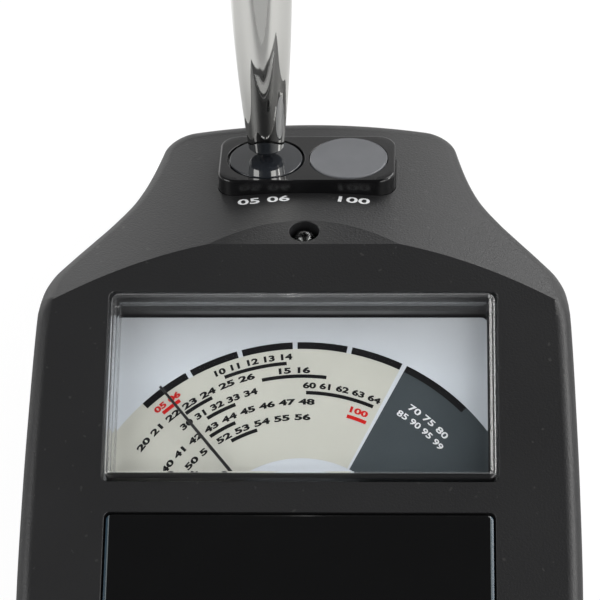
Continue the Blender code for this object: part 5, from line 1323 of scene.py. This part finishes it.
def statusLamp():
    r, flange, length, thick = lamp["radius"], lamp["flange"], lamp["length"], lamp["flange thick"]
    base = -r - case["gap"]
    dome = [(r * math.cos(a), base + r * math.sin(a)) for a in np.linspace(0, math.pi / 2, 18)]
    foot = [(0, -length), (flange, -length), (flange, thick - length), (r, thick + lamp["flange slope"] - length)]
    body = turned([*foot, *dome[:-1], (0, dome[-1][1])], 64)
    addPiece("lamp_body", moved(body, lampFrame), "clear_lamp", "status_led", sharp=40)
    cup = softened([(out, base - depth) for out, depth in lamp["cup"]], [0, 0.05, 0.05, 0.05, 0], 3)
    die = box(lamp["die"], lamp["die"], *(base - depth for depth in lamp["die depths"]))
    legs = [box(*lamp["leg"], lamp["leg end"] - length, base - lamp["leg top"], x) for x in lamp["legs"]]
    addPiece("lamp_cup", moved(joined(turned(cup, 40), *legs), lampFrame), "chrome")
    addPiece("lamp_die", moved(die, lampFrame), "cream ink")


# ---- power button: a dished cap with a printed ring and bar

def powerButton():
    top, bottom, radius, flange, stem = (button[key] for key in ("top", "bottom", "radius", "flange", "stem"))
    under = case["height"] - case["wall"] - case["gap"]
    low, spot = under - button["flange thick"], Matrix.Translation((0, button["y"], 0))
    # the dish falls from a share of 0.8 of the radius to the middle as a smooth step
    fall = lambda s: button["dish"] * (1 - s / 0.8) ** 2 * (1 + 2 * s / 0.8) if s < 0.8 else 0
    dish = [(radius * s, top - fall(s)) for s in np.linspace(0.9, 0, 24)]
    side = [(0, bottom), (stem, bottom), (stem, low), (flange, low), (flange, under), (radius, under), (radius, top)]
    rounds = [0, 0.2, 0.2, 0.1, 0.1, 0.1, 0.35, *[0] * len(dish)]
    cap = turned(softened(side + dish, rounds, 5), 96)
    addPiece("button_cap", moved(cap, spot), "black_plastic", "power_button", "button")
    level = top - button["sunk"]
    raised = level + button["raised"]
    turn, (inner, outer) = np.radians(np.linspace(35, 325, 60)), button["ring"]
    section = (inner, level), (outer, level), (outer, raised), (inner, raised)
    rings = [np.stack([r * np.sin(turn), r * np.cos(turn), np.full_like(turn, z)], -1) for r, z in section]
    bar = box(*button["bar"], level, raised, 0, button["bar y"])
    sign = joined(lofted(np.stack(rings, 1)), bar)
    addPiece("button_mark", moved(sign, spot), "white ink", body="button")


statusLamp()
powerButton()
print("discs, lamp and button done")


# ---- pen: nose, barrel, tail and sprung tip, turned about the pen's axis

pen = {
    **millimetres({
        "ahead": 1.35,  # how far beyond the middle of the glass disc it stands
        "nose start": 1.05, "nose end": 46, "radius": 4.6, "wall": 0.9, "mouth": 1.05, "lip": 2.2, "chamfer": 0.4,
        "nose rim": (0.08, 0.05), "inside": 4.2, "spigot": 1.2, "spigot length": 6, "bevel": 0.12,
        "barrel end": 108, "lines": (5, 6.2),
        "line": ((0, -0.14), (0.12, -0.05), (0.12, 0.05), (0, 0.14)),  # (depth, place) across a turned line
        "tail end": 120, "tail": 3, "bore": 1.7,
        "tip": 0.75, "tip flange": 1.6, "tip heights": (0.3, 0.62, 4.5, 5.3, 9.5),
        "wire": 0.2, "coil": 1.3, "coil ends": (5.6, 11.6),
    }),
    "taper": 0.4787, "curve": 2.507, "turns": 7,
}


def penPieces():
    spot = Matrix.Translation((-discs["spread"], discs["disc y"] + pen["ahead"], discs["rise"]))
    place, gap = slopeFrame @ spot, case["gap"]
    radius = lambda t: pen["radius"] * (1 - pen["taper"] * (1 - t / pen["nose end"]) ** pen["curve"])
    start, end, wall, r, bevel = pen["nose start"], pen["nose end"], pen["wall"], pen["radius"], pen["bevel"]
    shoulder = start + pen["chamfer"]
    t = shoulder + (end - shoulder) * np.linspace(0, 1, 56) ** 2
    outer = np.column_stack([radius(t), t])
    inner = np.column_stack([radius(t[14::3]) - wall, t[14::3]])[::-1]
    spigot, mouth, inside, length = r - pen["spigot"], pen["mouth"], pen["inside"], pen["spigot length"]
    lip = softened([(mouth, start), (pen["lip"], start), outer[0], outer[1]], [0, 0.2, 0.3, 0], 5)[:-1]
    rimIn, rimDown = pen["nose rim"]
    rim = softened([outer[-2], (r, end - rimDown), (r - rimIn, end), (spigot, end)], 0, 1)[1:]
    nose = turned(np.concatenate([
        lip, outer[1:-1], rim, [(spigot, end + length), (spigot - wall, end + length), (spigot - wall, end - wall)],
        inner[1:], [(inner[-1][0], inside), (mouth, inside)],
    ]), 128)
    addPiece("pen_nose", moved(nose, place), "chrome", "probe_nose", "pen")

    low, high = end + gap, pen["barrel end"]
    near, far = pen["lines"]
    barrel = [(r - wall, low), (r - bevel, low), (r, low + bevel)]
    # two fine turned lines near each end of the barrel
    for y in (low + near, low + far, high - far, high - near):
        barrel += [(r - depth, y + along) for depth, along in pen["line"]]
    barrel += [(r, high - bevel), (r - bevel, high), (r - wall, high)]
    addPiece("pen_barrel", moved(turned(barrel, 128), place), "chrome", "probe_barrel", "pen")

    begin, tailEnd, tailR, bore = high + gap, pen["tail end"], pen["tail"], pen["bore"]
    step = (tailEnd - begin) / 4
    tail = softened([
        (bore, begin - length), (spigot, begin - length), (spigot, begin), (r, begin), (r, begin + step),
        ((r + tailR) / 2, begin + 2 * step), (tailR, begin + 3 * step), (tailR, tailEnd), (bore, tailEnd),
    ], [0, 0.2, 0, 0.15, 2, 1, 3, 0.4, 0.3], 6, True)
    addPiece("pen_tail", moved(turned(tail, 96), place), "black_plastic", "probe_tail", "pen")

    tip, flange = pen["tip"], pen["tip flange"]
    foot, full, under, over, top = pen["tip heights"]
    point = softened([
        (0, foot), (tip * 0.72, foot), (tip, full), (tip, under), (flange, under), (flange, over), (tip, over),
        (tip, top), (0, top),
    ], [0, 0.2, 0.2, 0.05, 0.1, 0.1, 0.05, 0.1, 0], 4)
    addPiece("pen_tip", moved(turned(point, 64), place), "copper tip", "probe_tip", "tip")

    # The tip's spring: a coil
    wire, (low, high) = pen["wire"], pen["coil ends"]
    share = np.linspace(0, 1, 337)
    coil = helix(2 * math.pi * pen["turns"] * share, pen["coil"], low + wire + (high - low - 2 * wire) * share)
    spring = addPiece("tip_coil", moved(tubed(coil, wire, 10), place), "bright_steel", "tip_spring", "pen")
    way, fixed = place.to_3x3() @ Vector((0, 0, 1)), place @ Vector((0, 0, high))
    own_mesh(spring)


def helix(turn, radius, height):
    return np.stack([radius * np.cos(turn), radius * np.sin(turn), height], -1)


penPieces()
print("pen done")


# ---- cells and their contacts, seen when the door is off

cell = {
    # near and far ends, as (share of the radius, inward, height from the near end or from the shoulder)
    "near": (
        (0, 0, 0.15), (0.62, 0, 0.15), (0.66, 0, 0), (1, 0, 0),
        (1, 0, 1.0), (1, 0.1, 1.05), (1, 0.1, 1.35), (1, 0, 1.45),
    ),
    "far": ((1, 0, 0), (0.8, 0, 0), (0.74, 0, -0.35)),
    "rounds": (0, 0.1, 0.1, 0.3, 0, 0, 0, 0.1, 0.45, 0.1, 0.1, 0.1, 0.25, 0),
    **millimetres({"nub": 1.9, "nub height": 0.95, "wire": 0.35, "inside": 0.7}),
    "turns": 4.2, "closed": 0.12,  # of the spring, and the share of it that lies flat at each end
}


def cellsAndContacts():
    def standing(name):
        # Where its turned form stands, its radius and its length
        low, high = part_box(name)
        spot = Matrix.Translation(((low.x + high.x) / 2, low.y, (low.z + high.z) / 2))
        return spot @ lyingDown, (high.x - low.x) / 2, high.y - low.y

    nub, wire, closed = cell["nub"], cell["wire"], cell["closed"]
    share = np.linspace(0, 1, 240)
    for number in (1, 2, 3):
        upright, radius, length = standing(f"battery_{number}")
        shoulder = length - cell["nub height"]
        corners = [(radius * out - inward * mm, height * mm) for out, inward, height in cell["near"]]
        corners += [(radius * out, shoulder + height * mm) for out, _, height in cell["far"]]
        corners += [(nub, corners[-1][1]), (nub, length), (0, length)]
        form = turned(softened(corners, cell["rounds"], 4), 72)
        addPiece(f"cell_{number}", moved(form, upright), "battery_wrap", f"battery_{number}")
        start, _, tall = standing(f"contact_spring_{number}")
        wide = radius - cell["inside"]
        rise = np.clip((share - closed) / (1 - 2 * closed), 0, 1)
        turn = 2 * math.pi * cell["turns"] * share
        path = helix(turn, wide + (nub - wide) * share, wire + (tall - 2 * wire) * rise)
        addPiece(f"cell_spring_{number}", moved(tubed(path, wire), start), "bright_steel", f"contact_spring_{number}")


cellsAndContacts()


# ---- the solids that stay get their finishes

def dressNodes():
    for node in nodes.values():
        if not node.hide_render:
            name = node.data.materials[0].name.split(".")[0]
            node.data.materials[0] = looks["meter case" if node is nodes["meter_case"] else name]


dressNodes()


# ---- floor, world and lamps

light = {
    "floor white": 0.86, "floor glow": 1.1,
    # the floor's glow, painted light seen in glossy faces: its strength, and where along Y it sets in and fades
    "glow behind": 1.3, "behind from": (0.09, 0.14), "behind to": (0.38, 0.27),
    # horizon behind the object and in front of it, the dark part of the sky, and its left and right sides
    "behind": 0.42, "front": 0.5, "dark": 0.035, "left": 0.42, "right": 1.5,
    # a tall white board far behind, to the right: its brightness, the way to it, and cosines of its half width
    "board": 4.0, "board way": (0.432, 0.885, 0.174), "board edge": (0.93, 0.975),
    # where along their ways the sky's sides, the horizon and the glow on the floor set in and are full
    "side edge": (0.3, 0.75), "horizon": (0.2, 0.08), "front to behind": (-0.6, 0.7), "glow edge": (-0.1, -0.35),
    "floor half": 6, "aim": (0, 0.02, 0.02),
    "lamps": (
        # name, spot, width and height, watts, colour
        ("left lamp", (-0.62, 0.0, 0.45), (0.4, 0.4), 2.0, (1, 1, 1)),
        ("right back lamp", (0.68, 0.33, 0.38), (0.5, 0.14), 1.7, (1, 0.99, 0.97)),
        ("right front lamp", (0.50, -0.30, 0.55), (0.5, 0.24), 1.6, (1, 0.99, 0.97)),
    ),
}


def addFloor():
    mesh = bpy.data.meshes.new("floor")
    half = light["floor half"]
    mesh.from_pydata([(-half, -half, 0), (half, -half, 0), (half, half, 0), (-half, half, 0)], [], [(0, 1, 2, 3)])
    floor = addObject("floor", mesh)
    f = newFinish("floor")
    grain = f.noise(40, 3.0)
    # Painted light: the floor glows behind the object, to its left, as seen in glossy faces only
    behind = f.along("Y").clamped(*light["behind from"]) * f.along("Y").clamped(*light["behind to"])
    glow = behind * (f.along("X") / f.along("Y")).clamped(*light["glow edge"]) * f.ray("Is Glossy Ray")
    tone = f.mix(grain, (0.84, 0.84, 0.84), (0.87, 0.87, 0.87))
    glowing = {"Emission_Color": f.mix(glow, (0, 0, 0), (1, 1, 1)), "Emission_Strength": light["glow behind"]}
    white = f.node("ShaderNodeEmission", None, {"Color": (1, 1, 1, 1), "Strength": light["floor glow"]})
    seen = f.ray("Is Camera Ray") * light["floor white"]
    floor.data.materials.append(f.output(f.blend(seen, f.surface(tone, 0.9, **glowing), white)))


def addWorld():
    # Studio: a band at the horizon under a sky that is dark but for its sides, and a board. The camera sees white
    world = bpy.data.worlds.new("studio")
    bpy.context.scene.world = world
    f = Finish(world)
    way = f.node("ShaderNodeTexCoord", output="Generated")
    across, along, up = (f.node("ShaderNodeSeparateXYZ", None, {0: way}, axis) for axis in "XYZ")
    start, full = light["side edge"]
    sky = light["dark"] + (light["right"] - light["dark"]) * across.clamped(start, full)
    sky = sky + (light["left"] - light["dark"]) * across.clamped(-start, -full)
    horizon = light["front"] + (light["behind"] - light["front"]) * along.clamped(*light["front to behind"])
    level = sky + (horizon - sky) * up.clamped(*light["horizon"])
    level = level + light["board"] * f.dot(way, light["board way"]).clamped(*light["board edge"])
    level = level + (1 - level) * f.ray("Is Camera Ray")
    white = f.node("ShaderNodeBackground", None, {"Color": (1, 1, 1, 1), "Strength": level})
    f.output(white, "ShaderNodeOutputWorld")


def addLamps():
    for name, spot, size, watts, colour in light["lamps"]:
        data = bpy.data.lights.new(name, "AREA")
        data.shape, data.energy, data.color = "RECTANGLE", watts, colour
        data.size, data.size_y = size
        lampObject = addObject(name, data)
        lampObject.location = spot
        lampObject.rotation_euler = (Vector(light["aim"]) - Vector(spot)).to_track_quat("-Z", "Y").to_euler()


addCamera()
addFloor()
addWorld()
addLamps()
bpy.context.scene.view_settings.view_transform = "Standard"
print("camera, floor and light done")
